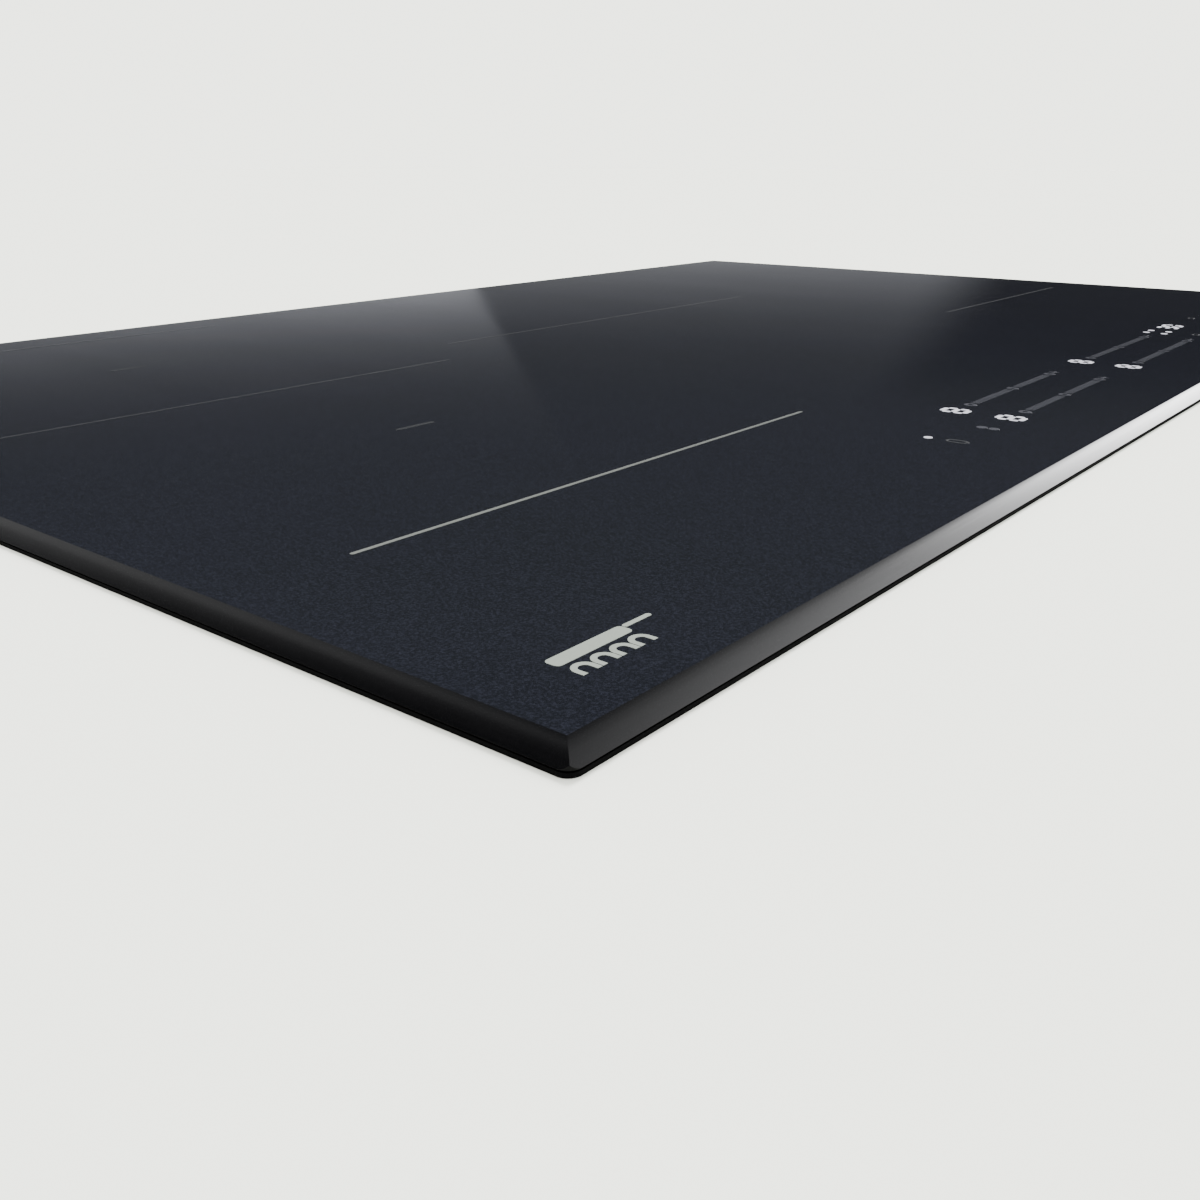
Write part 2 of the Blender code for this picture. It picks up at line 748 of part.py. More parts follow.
def ferrite_star(name, coil, material):
    """Flat star of ferrite arms with an open hub."""
    outer = []
    inner = []
    half = FERRITE_ARM_WIDTH / 2
    half_arm_angle = math.pi / FERRITE_ARMS / 2
    for arm in range(FERRITE_ARMS):
        angle = 2 * math.pi * arm / FERRITE_ARMS
        reach = coil_reach(coil, angle) - FERRITE_SETBACK
        corners = [(FERRITE_HUB_RADIUS, -1), (reach, -1), (reach, 1), (FERRITE_HUB_RADIUS, 1)]
        for along, side in corners:
            across = side * half
            x = along * math.cos(angle) - across * math.sin(angle)
            y = along * math.sin(angle) + across * math.cos(angle)
            outer.append((x, y))
            share = 1.0 if along == FERRITE_HUB_RADIUS else 0.5
            turned = angle + side * share * half_arm_angle
            inner.append((FERRITE_HOLE_RADIUS * math.cos(turned), FERRITE_HOLE_RADIUS * math.sin(turned)))
    low = FERRITE_BOTTOM
    high = low + FERRITE_THICK
    body = layers_to_body([(outer, low), (outer, high), (inner, high), (inner, low)], True)
    shift(body, coil.x, coil.y, 0)
    return finish(body, "ferrite_" + name, material, (coil.x, coil.y, low))


def coil_former(name, coil, material):
    """Shallow plastic dish with a rim and a raised hub that hold the winding."""
    low = FORMER_BOTTOM
    deck = low + FORMER_DECK
    rim = deck + FORMER_RIM
    half_x = coil.half_x + FORMER_MARGIN
    half_y = coil.half_y + FORMER_MARGIN
    hub = half_y - HUB_OUTSIDE
    hole = half_y - HUB_HOLE
    profile = [
        (0, low), (0, rim), (FORMER_WALL, rim), (FORMER_WALL, deck),
        (hub, deck), (hub, rim), (hole, rim), (hole, low),
    ]
    body = frame_ring(half_x, half_y, coil.corner + FORMER_MARGIN, coil.corner_points, profile)
    shift(body, coil.x, coil.y, 0)
    return finish(body, "former_" + name, material, (coil.x, coil.y, low), smooth=True)


def winding(name, coil, material):
    """Flat spiral of litz tape, wound inwards from the rim of the former."""
    per_turn = 4 * coil.corner_points
    low = WINDING_BOTTOM
    high = low + WINDING_THICK
    vertices = []
    for index in range(coil.turns * per_turn + 1):
        centre_inset = WINDING_TAPE / 2 + WINDING_PITCH * index / per_turn
        for edge, z in ((-0.5, low), (-0.5, high), (0.5, high), (0.5, low)):
            inset = centre_inset + edge * WINDING_TAPE
            radius = max(coil.corner - inset, GLASS_CORNER_RADIUS)
            points = outline(coil.half_x - inset, coil.half_y - inset, radius, coil.corner_points)
            vertices.append((*points[index % per_turn], z))
    faces = [(0, 1, 2, 3)]
    sections = len(vertices) // 4
    faces.append(tuple(4 * (sections - 1) + i for i in range(4)))
    for section in range(sections - 1):
        base = 4 * section
        for i in range(4):
            j = (i + 1) % 4
            faces.append((base + i, base + j, base + 4 + j, base + 4 + i))
    body = new_body(vertices, faces)
    shift(body, coil.x, coil.y, 0)
    return finish(body, "winding_" + name, material, (coil.x, coil.y, low), smooth=True)


def mica_disc(name, coil, material):
    """Thin insulating sheet between the winding and the glass."""
    low = MICA_BOTTOM
    high = low + MICA_THICK
    half_x = coil.half_x + MICA_MARGIN
    half_y = coil.half_y + MICA_MARGIN
    hole = half_y - HUB_HOLE
    profile = [(0, low), (0, high), (hole, high), (hole, low)]
    body = frame_ring(half_x, half_y, coil.corner + MICA_MARGIN, coil.corner_points, profile)
    shift(body, coil.x, coil.y, 0)
    return finish(body, "mica_" + name, material, (coil.x, coil.y, low))


def coil_sensor(name, coil, material):
    """Temperature sensor: a stem on the carrier plate and a soft cap at the glass."""
    shoulder = FORMER_BOTTOM + SENSOR_CHAMFER
    top = GLASS_BOTTOM - GAP
    profile = [
        (SENSOR_STEM_RADIUS, FERRITE_BOTTOM),
        (SENSOR_STEM_RADIUS, shoulder),
        (SENSOR_RADIUS, shoulder + SENSOR_CHAMFER),
        (SENSOR_RADIUS, top - SENSOR_CHAMFER),
        (SENSOR_RADIUS - SENSOR_CHAMFER, top),
    ]
    body = round_body(profile, 12)
    shift(body, coil.x, coil.y, 0)
    return finish(body, "sensor_" + name, material, (coil.x, coil.y, FERRITE_BOTTOM), smooth=True)


# ---------------------------------------------------------------- electronics
def post_places(limits_x):
    """Tall corner posts of one board tray."""
    return corner_places((*limits_x, BOARD_TRAY_FRONT, BOARD_TRAY_REAR), POST_INSET)


def corner_places(limits, inset):
    """Four places inset from the corners of a rectangle."""
    low_x, high_x, low_y, high_y = limits
    return [(x, y) for x in (low_x + inset, high_x - inset) for y in (low_y + inset, high_y - inset)]


def stud_places(limits):
    """Short studs under the corners of a board."""
    return corner_places(limits, STUD_INSET)


def board_limits(limits_x):
    """Outline of the inverter board that lies inside one board tray."""
    return (limits_x[0] + BOARD_INSET, limits_x[1] - BOARD_INSET,
            BOARD_TRAY_FRONT + BOARD_INSET, BOARD_TRAY_REAR - BOARD_INSET)


def board_tray(name, limits_x, material):
    """Plastic tray with studs for the boards and posts that carry the coil plate."""
    low = FLOOR_TOP
    high = low + BOARD_TRAY_THICK
    body = block(*limits_x, BOARD_TRAY_FRONT, BOARD_TRAY_REAR, low, high)
    studs = stud_places(board_limits(limits_x))
    if name == "left":
        low_x, high_x, low_y, high_y = FILTER_TRAY
        add(body, block(low_x + BITE, high_x, low_y, high_y, low + BITE / 5, high - BITE / 5))
        studs += stud_places(FILTER_BOARD)
    root = (low + high) / 2
    add(body, upright_cylinders(studs, STUD_RADIUS, root, BOARD_BOTTOM - GAP, 8))
    add(body, upright_cylinders(post_places(limits_x), POST_RADIUS, root, PLATE_BOTTOM - GAP, 10))
    origin = (sum(limits_x) / 2, (BOARD_TRAY_FRONT + BOARD_TRAY_REAR) / 2, low)
    return finish(body, "board_tray_" + name, material, origin)


def circuit_board(name, limits, bottom, material):
    """Bare circuit board with four fixing holes."""
    low_x, high_x, low_y, high_y = limits
    body = block(low_x, high_x, low_y, high_y, bottom, bottom + BOARD_THICK)
    holes = corner_places(limits, BOARD_HOLE_INSET)
    cut(body, upright_cylinders(holes, BOARD_HOLE_RADIUS, bottom - EPS, bottom + BOARD_THICK + EPS, 8))
    origin = ((low_x + high_x) / 2, (low_y + high_y) / 2, bottom)
    return finish(body, name, material, origin)


def power_module(name, x, material):
    """Flat transistor and rectifier block between the board and the heat sink."""
    low = BOARD_TOP + GAP
    body = block(x - MODULE_HALF_WIDTH, x + MODULE_HALF_WIDTH, MODULE_FRONT, MODULE_REAR,
                 low, low + MODULE_THICK)
    return finish(body, "power_module_" + name, material, (x, (MODULE_FRONT + MODULE_REAR) / 2, low))


def heatsink(name, x, material):
    """Extruded aluminium heat sink with fins along the air flow."""
    low = BOARD_TOP + 2 * GAP + MODULE_THICK
    deck = low + HEATSINK_BASE
    half = HEATSINK_WIDTH / 2
    points = [(x - half, low), (x + half, low)]
    pitch = (HEATSINK_WIDTH - HEATSINK_FIN_THICK) / (HEATSINK_FINS - 1)
    for index in range(HEATSINK_FINS):
        right = x + half - index * pitch
        left = right - HEATSINK_FIN_THICK
        if index > 0:
            points.append((right, deck))
        points.append((right, HEATSINK_TOP))
        points.append((left, HEATSINK_TOP))
        if index < HEATSINK_FINS - 1:
            points.append((left, deck))
    front = HEATSINK_REAR - HEATSINK_LENGTH
    body = front_prism(points, front, HEATSINK_REAR)
    return finish(body, "heatsink_" + name, material, (x, (front + HEATSINK_REAR) / 2, low))


def capacitor(name, x, material):
    """Box-shaped resonance capacitor."""
    low = BOARD_TOP + GAP
    points = outline(*CAPACITOR_HALF, 0.002, 2)
    body = prism(points, low, low + CAPACITOR_HEIGHT)
    shift(body, x, CAPACITOR_Y, 0)
    return finish(body, "capacitor_" + name, material, (x, CAPACITOR_Y, low))


def toroid_choke(name, x, y, outer, material):
    """Wound ring choke lying on its board."""
    low = BOARD_TOP + GAP
    inner = outer * CHOKE_BORE_SHARE
    high = low + CHOKE_HEIGHT
    soft = CHOKE_SOFTNESS
    profile = [
        (inner, low + soft), (inner + soft, low), (outer - soft, low), (outer, low + soft),
        (outer, high - soft), (outer - soft, high), (inner + soft, high), (inner, high - soft),
    ]
    body = round_ring(profile, 16)
    shift(body, x, y, 0)
    return finish(body, name, material, (x, y, low), smooth=True)


def fan_housing(name, x, material):
    """Radial fan casing: intake hole below, outlet to the front, a bearing pin in its roof."""
    low = FLOOR_TOP
    high = low + FAN_HEIGHT
    body = prism(outline(FAN_HALF, FAN_HALF, FAN_CORNER_RADIUS, 3), low, high)
    cavity_low = low + FAN_WALL
    cavity_high = high - FAN_WALL
    cavity = round_body([(FAN_CAVITY_RADIUS, cavity_low), (FAN_CAVITY_RADIUS, cavity_high)], 28)
    mouth = block(-FAN_OUTLET_HALF, FAN_OUTLET_HALF, -FAN_HALF - EPS, FAN_MOUTH_DEPTH - FAN_HALF,
                  cavity_low + FAN_MOUTH_LIP, cavity_high - FAN_MOUTH_LIP)
    add(cavity, mouth)
    cut(body, cavity)
    cut(body, round_body([(FAN_INTAKE_RADIUS, low - EPS), (FAN_INTAKE_RADIUS, cavity_low + EPS)], 24))
    add(body, round_body([(FAN_PIN_RADIUS, low + FAN_PIN_LOW), (FAN_PIN_RADIUS, cavity_high + BITE)], 12))
    shift(body, x, FAN_Y, 0)
    return finish(body, "fan_housing_" + name, material, (x, FAN_Y, low))


def rotor_blade(angle, low, high):
    """One slanted blade of a fan rotor."""
    blade = block(-BLADE_LENGTH / 2, BLADE_LENGTH / 2, -BLADE_THICK / 2, BLADE_THICK / 2, low, high)
    turn(blade, BLADE_SLANT, "Z")
    shift(blade, BLADE_RADIUS, 0, 0)
    return turn(blade, angle, "Z")


def fan_rotor(name, x, material):
    """Impeller: back disc, bored hub, ring of slanted blades and a lower hoop."""
    low = FLOOR_TOP
    disc_low = low + ROTOR_DISC_LOW
    disc_high = low + ROTOR_DISC_HIGH
    hoop_low = low + ROTOR_HOOP_LOW
    hoop_high = low + ROTOR_HOOP_HIGH
    hoop_inside = ROTOR_RADIUS - ROTOR_HOOP_WIDTH
    body = round_body([(ROTOR_RADIUS, disc_low), (ROTOR_RADIUS, disc_high)], 24)
    add(body, round_body([(ROTOR_HUB_RADIUS, low + ROTOR_HUB_LOW), (ROTOR_HUB_RADIUS, disc_low + BITE)], 16))
    blades = []
    for index in range(ROTOR_BLADES):
        angle = 2 * math.pi * index / ROTOR_BLADES
        blades.append(rotor_blade(angle, hoop_high - BITE, disc_low + BITE))
    add(body, group(blades))
    hoop = [
        (hoop_inside, hoop_low), (ROTOR_RADIUS, hoop_low),
        (ROTOR_RADIUS, hoop_high), (hoop_inside, hoop_high),
    ]
    add(body, round_ring(hoop, 24))
    cut(body, round_body([(ROTOR_BORE_RADIUS, low + BITE), (ROTOR_BORE_RADIUS, disc_high + EPS)], 12))
    shift(body, x, FAN_Y, 0)
    return finish(body, "fan_rotor_" + name, material, (x, FAN_Y, disc_low))


# ---------------------------------------------------------------- mains connection
def terminal_box(material):
    """Plastic box open to the rear, with a window in its side for the cable."""
    half = TERMINAL_BOX_WIDTH / 2
    rear = TRAY_DEPTH / 2 - TRAY_SHEET - GAP
    front = rear - TERMINAL_BOX_DEPTH
    low = FLOOR_TOP
    high = low + TERMINAL_BOX_HEIGHT
    wall = TERMINAL_BOX_WALL
    body = block(TERMINAL_X - half, TERMINAL_X + half, front, rear, low, high)
    cut(body, block(TERMINAL_X - half + wall, TERMINAL_X + half - wall, front + wall, rear + EPS,
                    low + wall, high - wall))
    window_rear = rear - wall
    cut(body, block(TERMINAL_X + half - 2 * wall, TERMINAL_X + half + EPS,
                    window_rear - SIDE_WINDOW_DEPTH, window_rear,
                    GLAND_Z - SIDE_WINDOW_HALF_HEIGHT, GLAND_Z + SIDE_WINDOW_HALF_HEIGHT))
    return finish(body, "terminal_box", material, (TERMINAL_X, (front + rear) / 2, low))


def terminal_block(material):
    """Row of screw terminals with wire entries to the rear and screw wells on top."""
    low = FLOOR_TOP + TERMINAL_BOX_WALL + GAP
    high = low + TERMINAL_HEIGHT
    front = TRAY_DEPTH / 2 - TRAY_SHEET - TERMINAL_BOX_DEPTH + TERMINAL_BOX_WALL
    rear = front + TERMINAL_DEPTH
    half = TERMINAL_POLES * TERMINAL_PITCH / 2
    body = block(TERMINAL_X - half, TERMINAL_X + half, front, rear, low, high)
    entries = []
    wells = []
    for index in range(TERMINAL_POLES):
        x = TERMINAL_X + (index - (TERMINAL_POLES - 1) / 2) * TERMINAL_PITCH
        entries.append(
            cylinder_along_y(WIRE_ENTRY_RADIUS, rear - WIRE_ENTRY_DEPTH, rear + EPS,
                             x, low + WIRE_ENTRY_RISE, 8)
        )
        wells.append((x, front + SCREW_WELL_SETBACK))
    cut(body, group(entries))
    cut(body, upright_cylinders(wells, SCREW_WELL_RADIUS, high - SCREW_WELL_DEPTH, high + EPS, 8))
    return finish(body, "terminal_block", material, (TERMINAL_X, (front + rear) / 2, low))


def terminal_cover(material):
    """Lid over the terminal window, hinged along its lower edge."""
    low_x = TERMINAL_X - COVER_HALF_WIDTH
    high_x = TERMINAL_X + COVER_HALF_WIDTH
    inside = TRAY_DEPTH / 2 + COVER_WALL_GAP
    outside = inside + COVER_THICK
    body = block(low_x, high_x, inside, outside, COVER_AXIS_Z + COVER_BARREL_RADIUS / 2, COVER_TOP)
    barrel = cylinder_along_x(COVER_BARREL_RADIUS, low_x + BITE, high_x - BITE,
                              COVER_AXIS_Y, COVER_AXIS_Z, 12)
    add(body, barrel)
    pins = cylinder_along_x(COVER_PIN_RADIUS, low_x - EAR_THICK, high_x + EAR_THICK,
                            COVER_AXIS_Y, COVER_AXIS_Z, 10)
    add(body, pins)
    lip_low, lip_high = (COVER_TOP - drop for drop in COVER_LIP_BAND)
    lip = block(TERMINAL_X - COVER_LIP_HALF, TERMINAL_X + COVER_LIP_HALF,
                outside - BITE, outside + COVER_LIP_REACH, lip_low, lip_high)
    add(body, lip)
    return finish(body, "terminal_cover", material, (TERMINAL_X, COVER_AXIS_Y, COVER_AXIS_Z))


def cable_gland(material):
    """Rubber gland in the rear wall, flanged on both sides of the sheet."""
    wall_in = TRAY_DEPTH / 2 - TRAY_SHEET - GAP
    wall_out = TRAY_DEPTH / 2 + GAP
    inner_end = wall_in - GLAND_INNER_FLANGE
    outer_end = wall_out + GLAND_OUTER_FLANGE
    profile = [
        (GLAND_BORE_RADIUS, inner_end), (GLAND_FLANGE_RADIUS, inner_end), (GLAND_FLANGE_RADIUS, wall_in),
        (GLAND_NECK_RADIUS, wall_in), (GLAND_NECK_RADIUS, wall_out), (GLAND_FLANGE_RADIUS, wall_out),
        (GLAND_NOSE_RADIUS, outer_end), (GLAND_BORE_RADIUS, outer_end),
    ]
    body = round_ring(profile, 16)
    turn(body, -math.pi / 2, "X")
    shift(body, GLAND_X, 0, GLAND_Z)
    return finish(body, "cable_gland", material, (GLAND_X, TRAY_DEPTH / 2, GLAND_Z), smooth=True)


# ---------------------------------------------------------------- controls
def control_housing(material):
    """Open-topped plastic tray that holds the control board under the glass."""
    high = GLASS_BOTTOM - CONTROL_TOP_CLEARANCE
    body = block(CONTROL_LEFT, CONTROL_RIGHT, CONTROL_FRONT, CONTROL_REAR, CONTROL_BOTTOM, high)
    wall = CONTROL_WALL
    cut(body, block(CONTROL_LEFT + wall, CONTROL_RIGHT - wall, CONTROL_FRONT + wall,
                    CONTROL_REAR - wall, CONTROL_BOTTOM + wall, high + EPS))
    origin = ((CONTROL_LEFT + CONTROL_RIGHT) / 2, (CONTROL_FRONT + CONTROL_REAR) / 2, CONTROL_BOTTOM)
    return finish(body, "control_housing", material, origin)


def control_board(material):
    """Touch and display board inside the control housing."""
    inset = CONTROL_WALL + GAP
    limits = (CONTROL_LEFT + inset, CONTROL_RIGHT - inset, CONTROL_FRONT + inset, CONTROL_REAR - inset)
    return circuit_board("control_board", limits, CONTROL_BOARD_BOTTOM, material)


def display(name, place, material):
    """Two-digit display block between the control board and the glass."""
    x, y = place
    low = CONTROL_BOARD_BOTTOM + BOARD_THICK + GAP
    high = GLASS_BOTTOM - GAP
    half_x = DISPLAY_SIZE[0] / 2
    half_y = DISPLAY_SIZE[1] / 2
    body = block(x - half_x, x + half_x, y - half_y, y + half_y, low, high)
    return finish(body, "display_" + name, material, (x, y, low))


# ---------------------------------------------------------------- assembly
def build_coils():
    """The five pieces of each of the four coils."""
    plastic = black_plastic()
    litz = copper_litz()
    ferrite = grey_ferrite()
    mica = pale_mica()
    cap = white_plastic()
    for name, coil in COILS.items():
        ferrite_star(name, coil, ferrite)
        coil_former(name, coil, plastic)
        winding(name, coil, litz)
        mica_disc(name, coil, mica)
        coil_sensor(name, coil, cap)
    return plastic, litz, cap


def build_power_side(name, side, limits_x, plastic, litz, resin, metal, board):
    """Board tray, inverter board, its large parts and its fan, on one side of the hob."""
    x = side * FAN_X
    board_tray(name, limits_x, plastic)
    circuit_board("power_board_" + name, board_limits(limits_x), BOARD_BOTTOM, board)
    power_module(name, x, resin)
    heatsink(name, x, metal)
    capacitor(name, x + CAPACITOR_OFFSET, resin)
    toroid_choke("choke_" + name, x + SIDE_CHOKE_OFFSET, SIDE_CHOKE_Y, SIDE_CHOKE_RADIUS, litz)
    fan_housing(name, x, plastic)
    fan_rotor(name, x, plastic)


def build_hob():
    """Build every piece of the hob."""
    steel = zinc_steel()
    metal = aluminium()
    resin = dark_resin()
    board = green_board()
    seal = black_seal()
    glass_top(black_glass())
    rim_seal(seal)
    support_frame(steel)
    bottom_tray(steel)
    for name, place in clamp_places().items():
        clamp(name, place, steel)
    carrier_plate("left", LEFT_PLATE, ("left_front", "left_rear"), metal)
    carrier_plate("right", RIGHT_PLATE, ("centre", "right"), metal)
    plastic, litz, white = build_coils()
    build_power_side("left", -1, LEFT_BOARD_TRAY_X, plastic, litz, resin, metal, board)
    build_power_side("right", 1, RIGHT_BOARD_TRAY_X, plastic, litz, resin, metal, board)
    circuit_board("filter_board", FILTER_BOARD, BOARD_BOTTOM, board)
    toroid_choke("filter_choke", *FILTER_CHOKE_PLACE, FILTER_CHOKE_RADIUS, litz)
    terminal_box(plastic)
    terminal_block(white)
    terminal_cover(plastic)
    cable_gland(seal)
    control_housing(plastic)
    control_board(board)
    face = display_face()
    for name, place in DISPLAYS.items():
        display(name, place, face)


for old in list(bpy.data.objects):
    bpy.data.objects.remove(old, do_unlink=True)
build_hob()
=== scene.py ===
"""Looks of the built-in induction cooktop: the glass with its ground edge, the printed and lit marks,
the fasteners, every material, and a plain pale stage. Sizes are in metres, and named angles in degrees."""

import json
import math

import bmesh
import bpy
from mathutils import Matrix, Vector


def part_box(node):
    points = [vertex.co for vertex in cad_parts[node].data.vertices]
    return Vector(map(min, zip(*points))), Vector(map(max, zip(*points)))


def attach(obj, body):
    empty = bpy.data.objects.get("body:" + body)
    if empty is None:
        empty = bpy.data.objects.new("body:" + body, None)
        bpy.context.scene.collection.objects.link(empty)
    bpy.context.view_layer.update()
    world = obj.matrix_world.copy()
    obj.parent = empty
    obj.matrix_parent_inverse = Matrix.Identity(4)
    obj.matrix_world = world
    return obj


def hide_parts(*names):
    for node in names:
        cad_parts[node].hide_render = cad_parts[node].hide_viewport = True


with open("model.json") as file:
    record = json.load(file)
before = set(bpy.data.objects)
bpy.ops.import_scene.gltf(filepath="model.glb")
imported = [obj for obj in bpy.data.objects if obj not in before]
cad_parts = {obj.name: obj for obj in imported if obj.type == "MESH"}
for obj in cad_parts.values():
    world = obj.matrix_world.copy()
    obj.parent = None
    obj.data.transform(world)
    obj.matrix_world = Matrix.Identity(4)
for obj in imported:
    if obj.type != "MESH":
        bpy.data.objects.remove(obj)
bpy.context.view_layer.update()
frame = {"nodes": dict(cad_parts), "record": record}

# ---- driving sizes, read from the frame ----
GLASS_LOW, GLASS_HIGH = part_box("glass_top")
SEAL_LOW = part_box("rim_seal")[0]
FRAME_LOW, FRAME_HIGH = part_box("support_frame")
TRAY_LOW, TRAY_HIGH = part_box("bottom_tray")
HOB = "hob"

# ---- the glass edge: a slope that eases from its foot up, and is rounded over near the flat ----
BEVEL_WIDTH = 0.0044
BEVEL_DROP = 0.0038
BEVEL_EASE = 0.30
BEVEL_ROUND_START = 0.50
BEVEL_ROUNDING = 0.50
BEVEL_STEPS = 14
ARRIS = 0.00015
CORNER_RADIUS = 0.003
CORNER_STEPS = 8
GLASS_SMOOTH_BELOW = 16
FLAT_X = GLASS_LOW.x + BEVEL_WIDTH
FLAT_Y = GLASS_LOW.y + BEVEL_WIDTH
# upward share of a face's normal: more than the first on the flats, less than the second on the foot
FLAT_FACE = 0.995
UPRIGHT_FACE = 0.3
# differences in length that count as none
SAME = 1e-9
SLIVER = 1e-7
WELD = 1e-6

# ---- the printed marks: thickness, then places from the flat glass's front left corner ----
PRINT_THICK = 0.00006
PRINT_LIFT = 0.00001
GLASS_TOP = GLASS_HIGH.z - PRINT_LIFT - PRINT_THICK
PRINT_LOW = GLASS_TOP + PRINT_LIFT
PRINT_HIGH = GLASS_HIGH.z
BAR_ROUNDNESS = 0.45
PILL_ROUNDNESS = 0.5
BAR_END_STEPS = 4
DISC_STEPS = 32
ZONE_LINE = 0.0014
TICK_LINE = 0.0022
LEFT_ZONE_X = (0.0378, 0.2511)
LEFT_ZONE_Y = (0.1002, 0.2872, 0.4741)
LEFT_TICK_X = (0.1353, 0.1529)
LEFT_TICK_Y = (0.1935, 0.3809)
CENTRE_ZONE_X = (0.2857, 0.5613)
CENTRE_ZONE_Y = 0.3233
RIGHT_ZONE_X = (0.5664, 0.7518)
RIGHT_ZONE_Y = 0.1804
REAR_ROW_Y = 0.0564
FRONT_ROW_Y = 0.0354
DIGIT_X = (0.2888, 0.4310)
SLIDER_OFFSET = 0.0140
SLIDER_LENGTH = 0.0860
SLIDER_PITCH = 0.0016
SLIDER_TICK = (0.0009, 0.0034)
SLIDER_KNOB_RADIUS = 0.0024
SLIDER_KNOB_HOLE = 0.45
PLUS_OFFSET = 0.0062
PLUS_SIZE = 0.0044
PLUS_GAP = 0.00005
DIGIT_SIZE = (0.0086, 0.0108)
DIGIT_STROKE = 0.0020
DIGIT_JOIN = 0.6
TIMER_X = 0.5775
TIMER_DIGIT_STEP = 0.0094
TIMER_DOT_X = (0.5515, 0.5605)
TIMER_DOT_Y = (0.0606, 0.0516)
TIMER_DOT_RADIUS = 0.0017
POWER_DOT = (0.2406, 0.0456)
POWER_DOT_RADIUS = 0.0015
LOCK_KEY = (0.2411, 0.0356)
LOCK_KEY_SIZE = (0.0042, 0.0080)
LOCK_KEY_STROKE = 0.0009
PAUSE_KEY = (0.2671, 0.0354)
PAUSE_KEY_STEP = 0.0044
PAUSE_KEY_RADIUS = 0.0019
FAR_KEYS = {
    "far_key": (0.5582, 0.0376),
    "timer_key": (0.6294, 0.0571),
}
FAR_KEY_SIZE = (0.0062, 0.0034)
FAR_KEY_STROKE = 0.0006
SYMBOL_PLACE = (0.0195, 0.0128)
SYMBOL_HUMPS = 4
SYMBOL_PITCH = 0.0058
SYMBOL_STROKE = 0.0014
SYMBOL_LEG = 0.0020
SYMBOL_HUMP_REACH = 0.48 * SYMBOL_PITCH
SYMBOL_HUMP_STEPS = 20
SYMBOL_PAN_RISE = 0.0080
SYMBOL_PAN_HEIGHT = 0.0040
SYMBOL_PAN_ROUNDNESS = 0.3
SYMBOL_HANDLE = 0.0090
SYMBOL_HANDLE_RISE = 0.25
SYMBOL_HANDLE_GAP = 0.0002

# ---- fasteners and pressed shapes on the housing ----
SKIRT_HEIGHT = 0.009
SCREW_RADIUS = 0.0031
SCREW_HEIGHT = 0.0017
SCREW_DOME = ((1.0, 0.0), (1.0, 0.30), (0.95, 0.55), (0.84, 0.78), (0.68, 0.94), (0.58, 1.0))
SCREW_CROSS_ARM = 0.00165
SCREW_CROSS_HALF_WIDTH = 0.00036
SCREW_CROSS_TAPER = 0.8
SCREW_CROSS_FLOOR = 0.35
SCREW_SMOOTH_BELOW = 40
LONG_SIDE_SCREWS = (-0.335, -0.115, 0.115, 0.335)
SHORT_SIDE_SCREWS = (-0.165, 0.0, 0.165)
BEAD_SPANS = {
    "front": (-0.290, 0.290),
    "rear": (-0.200, 0.290),
    "left": (-0.140, 0.140),
    "right": (-0.140, 0.140),
}
BEAD_HEIGHTS = (0.0070, 0.0370)
BEAD_WIDTH = 0.0046
BEAD_RISE = 0.0009
BEAD_PROFILE = ((0.0, 0.0), (0.10, 0.55), (0.22, 0.90), (0.34, 1.0))
BEAD_ROUNDNESS = 0.49
BEAD_SMOOTH_BELOW = 60
COVER_FACE = 0.0022
COVER_RIBS = 5
COVER_RIB_START = 0.0110
COVER_RIB_PITCH = 0.0042
COVER_RIB_SIZE = (0.060, 0.0018)
COVER_RIB_RISE = 0.0006

# ---- inks and lamps of the marks: the darkest and the lightest tone of each ink ----
# the zone lines are one ink in three tones, lightest nearest the front left corner and darker further off:
# painted light and shade by distance
FRONT_ZONE_INK = ((0.085, 0.090, 0.084), (0.125, 0.132, 0.124))
REAR_ZONE_INK = ((0.0180, 0.0190, 0.0205), (0.0250, 0.0260, 0.0280))
FAR_ZONE_INK = ((0.0110, 0.0120, 0.0130), (0.0150, 0.0160, 0.0175))
SYMBOL_INK = ((0.165, 0.180, 0.160), (0.225, 0.245, 0.220))
SLIDER_INK = ((0.038, 0.039, 0.046), (0.054, 0.055, 0.064))
KEY_INK = ((0.030, 0.031, 0.033), (0.042, 0.043, 0.045))
LIT_TONE = (0.80, 0.80, 0.88)
LIT_DIM = 0.72
LIT_GLOW = 1.7

# ---- the camera and the stage ----
CAMERA_PLACE = Vector((-0.5236, -0.3613, 0.1433))
CAMERA_HEADING = Vector((0.7256, 0.5882, -0.3571))
CAMERA_LENS = 34.77
CAMERA_SENSOR = 36.0
CAMERA_CLIP = (0.005, 60.0)
FLOOR_HALF = 14.0
FLOOR_Z = -0.0003
WORKTOP_X = (-0.56, 0.03)
WORKTOP_Y = (-0.40, -0.06)
WORKTOP_THICK = 0.003
WORKTOP_CLEAR = 0.0001
WORKTOP_TOP = SEAL_LOW.z - WORKTOP_CLEAR
WORKTOP_HOLE_GAP = 0.003
DOME_LIGHT = 2.45
DOME_TINT = (0.995, 1.0, 0.985)
HAZE_TINT = (0.965, 0.98, 1.04)
CARD_TINT = (0.995, 1.0, 1.01)
KEY_LIGHT = 7.6
KEY_ANGLE = 25.0
KEY_HEADING = Vector((1.6, 0.9, 1.7))
FLOOR_TONE = (0.825, 0.84, 0.765)
FLOOR_VARIATION = 0.01

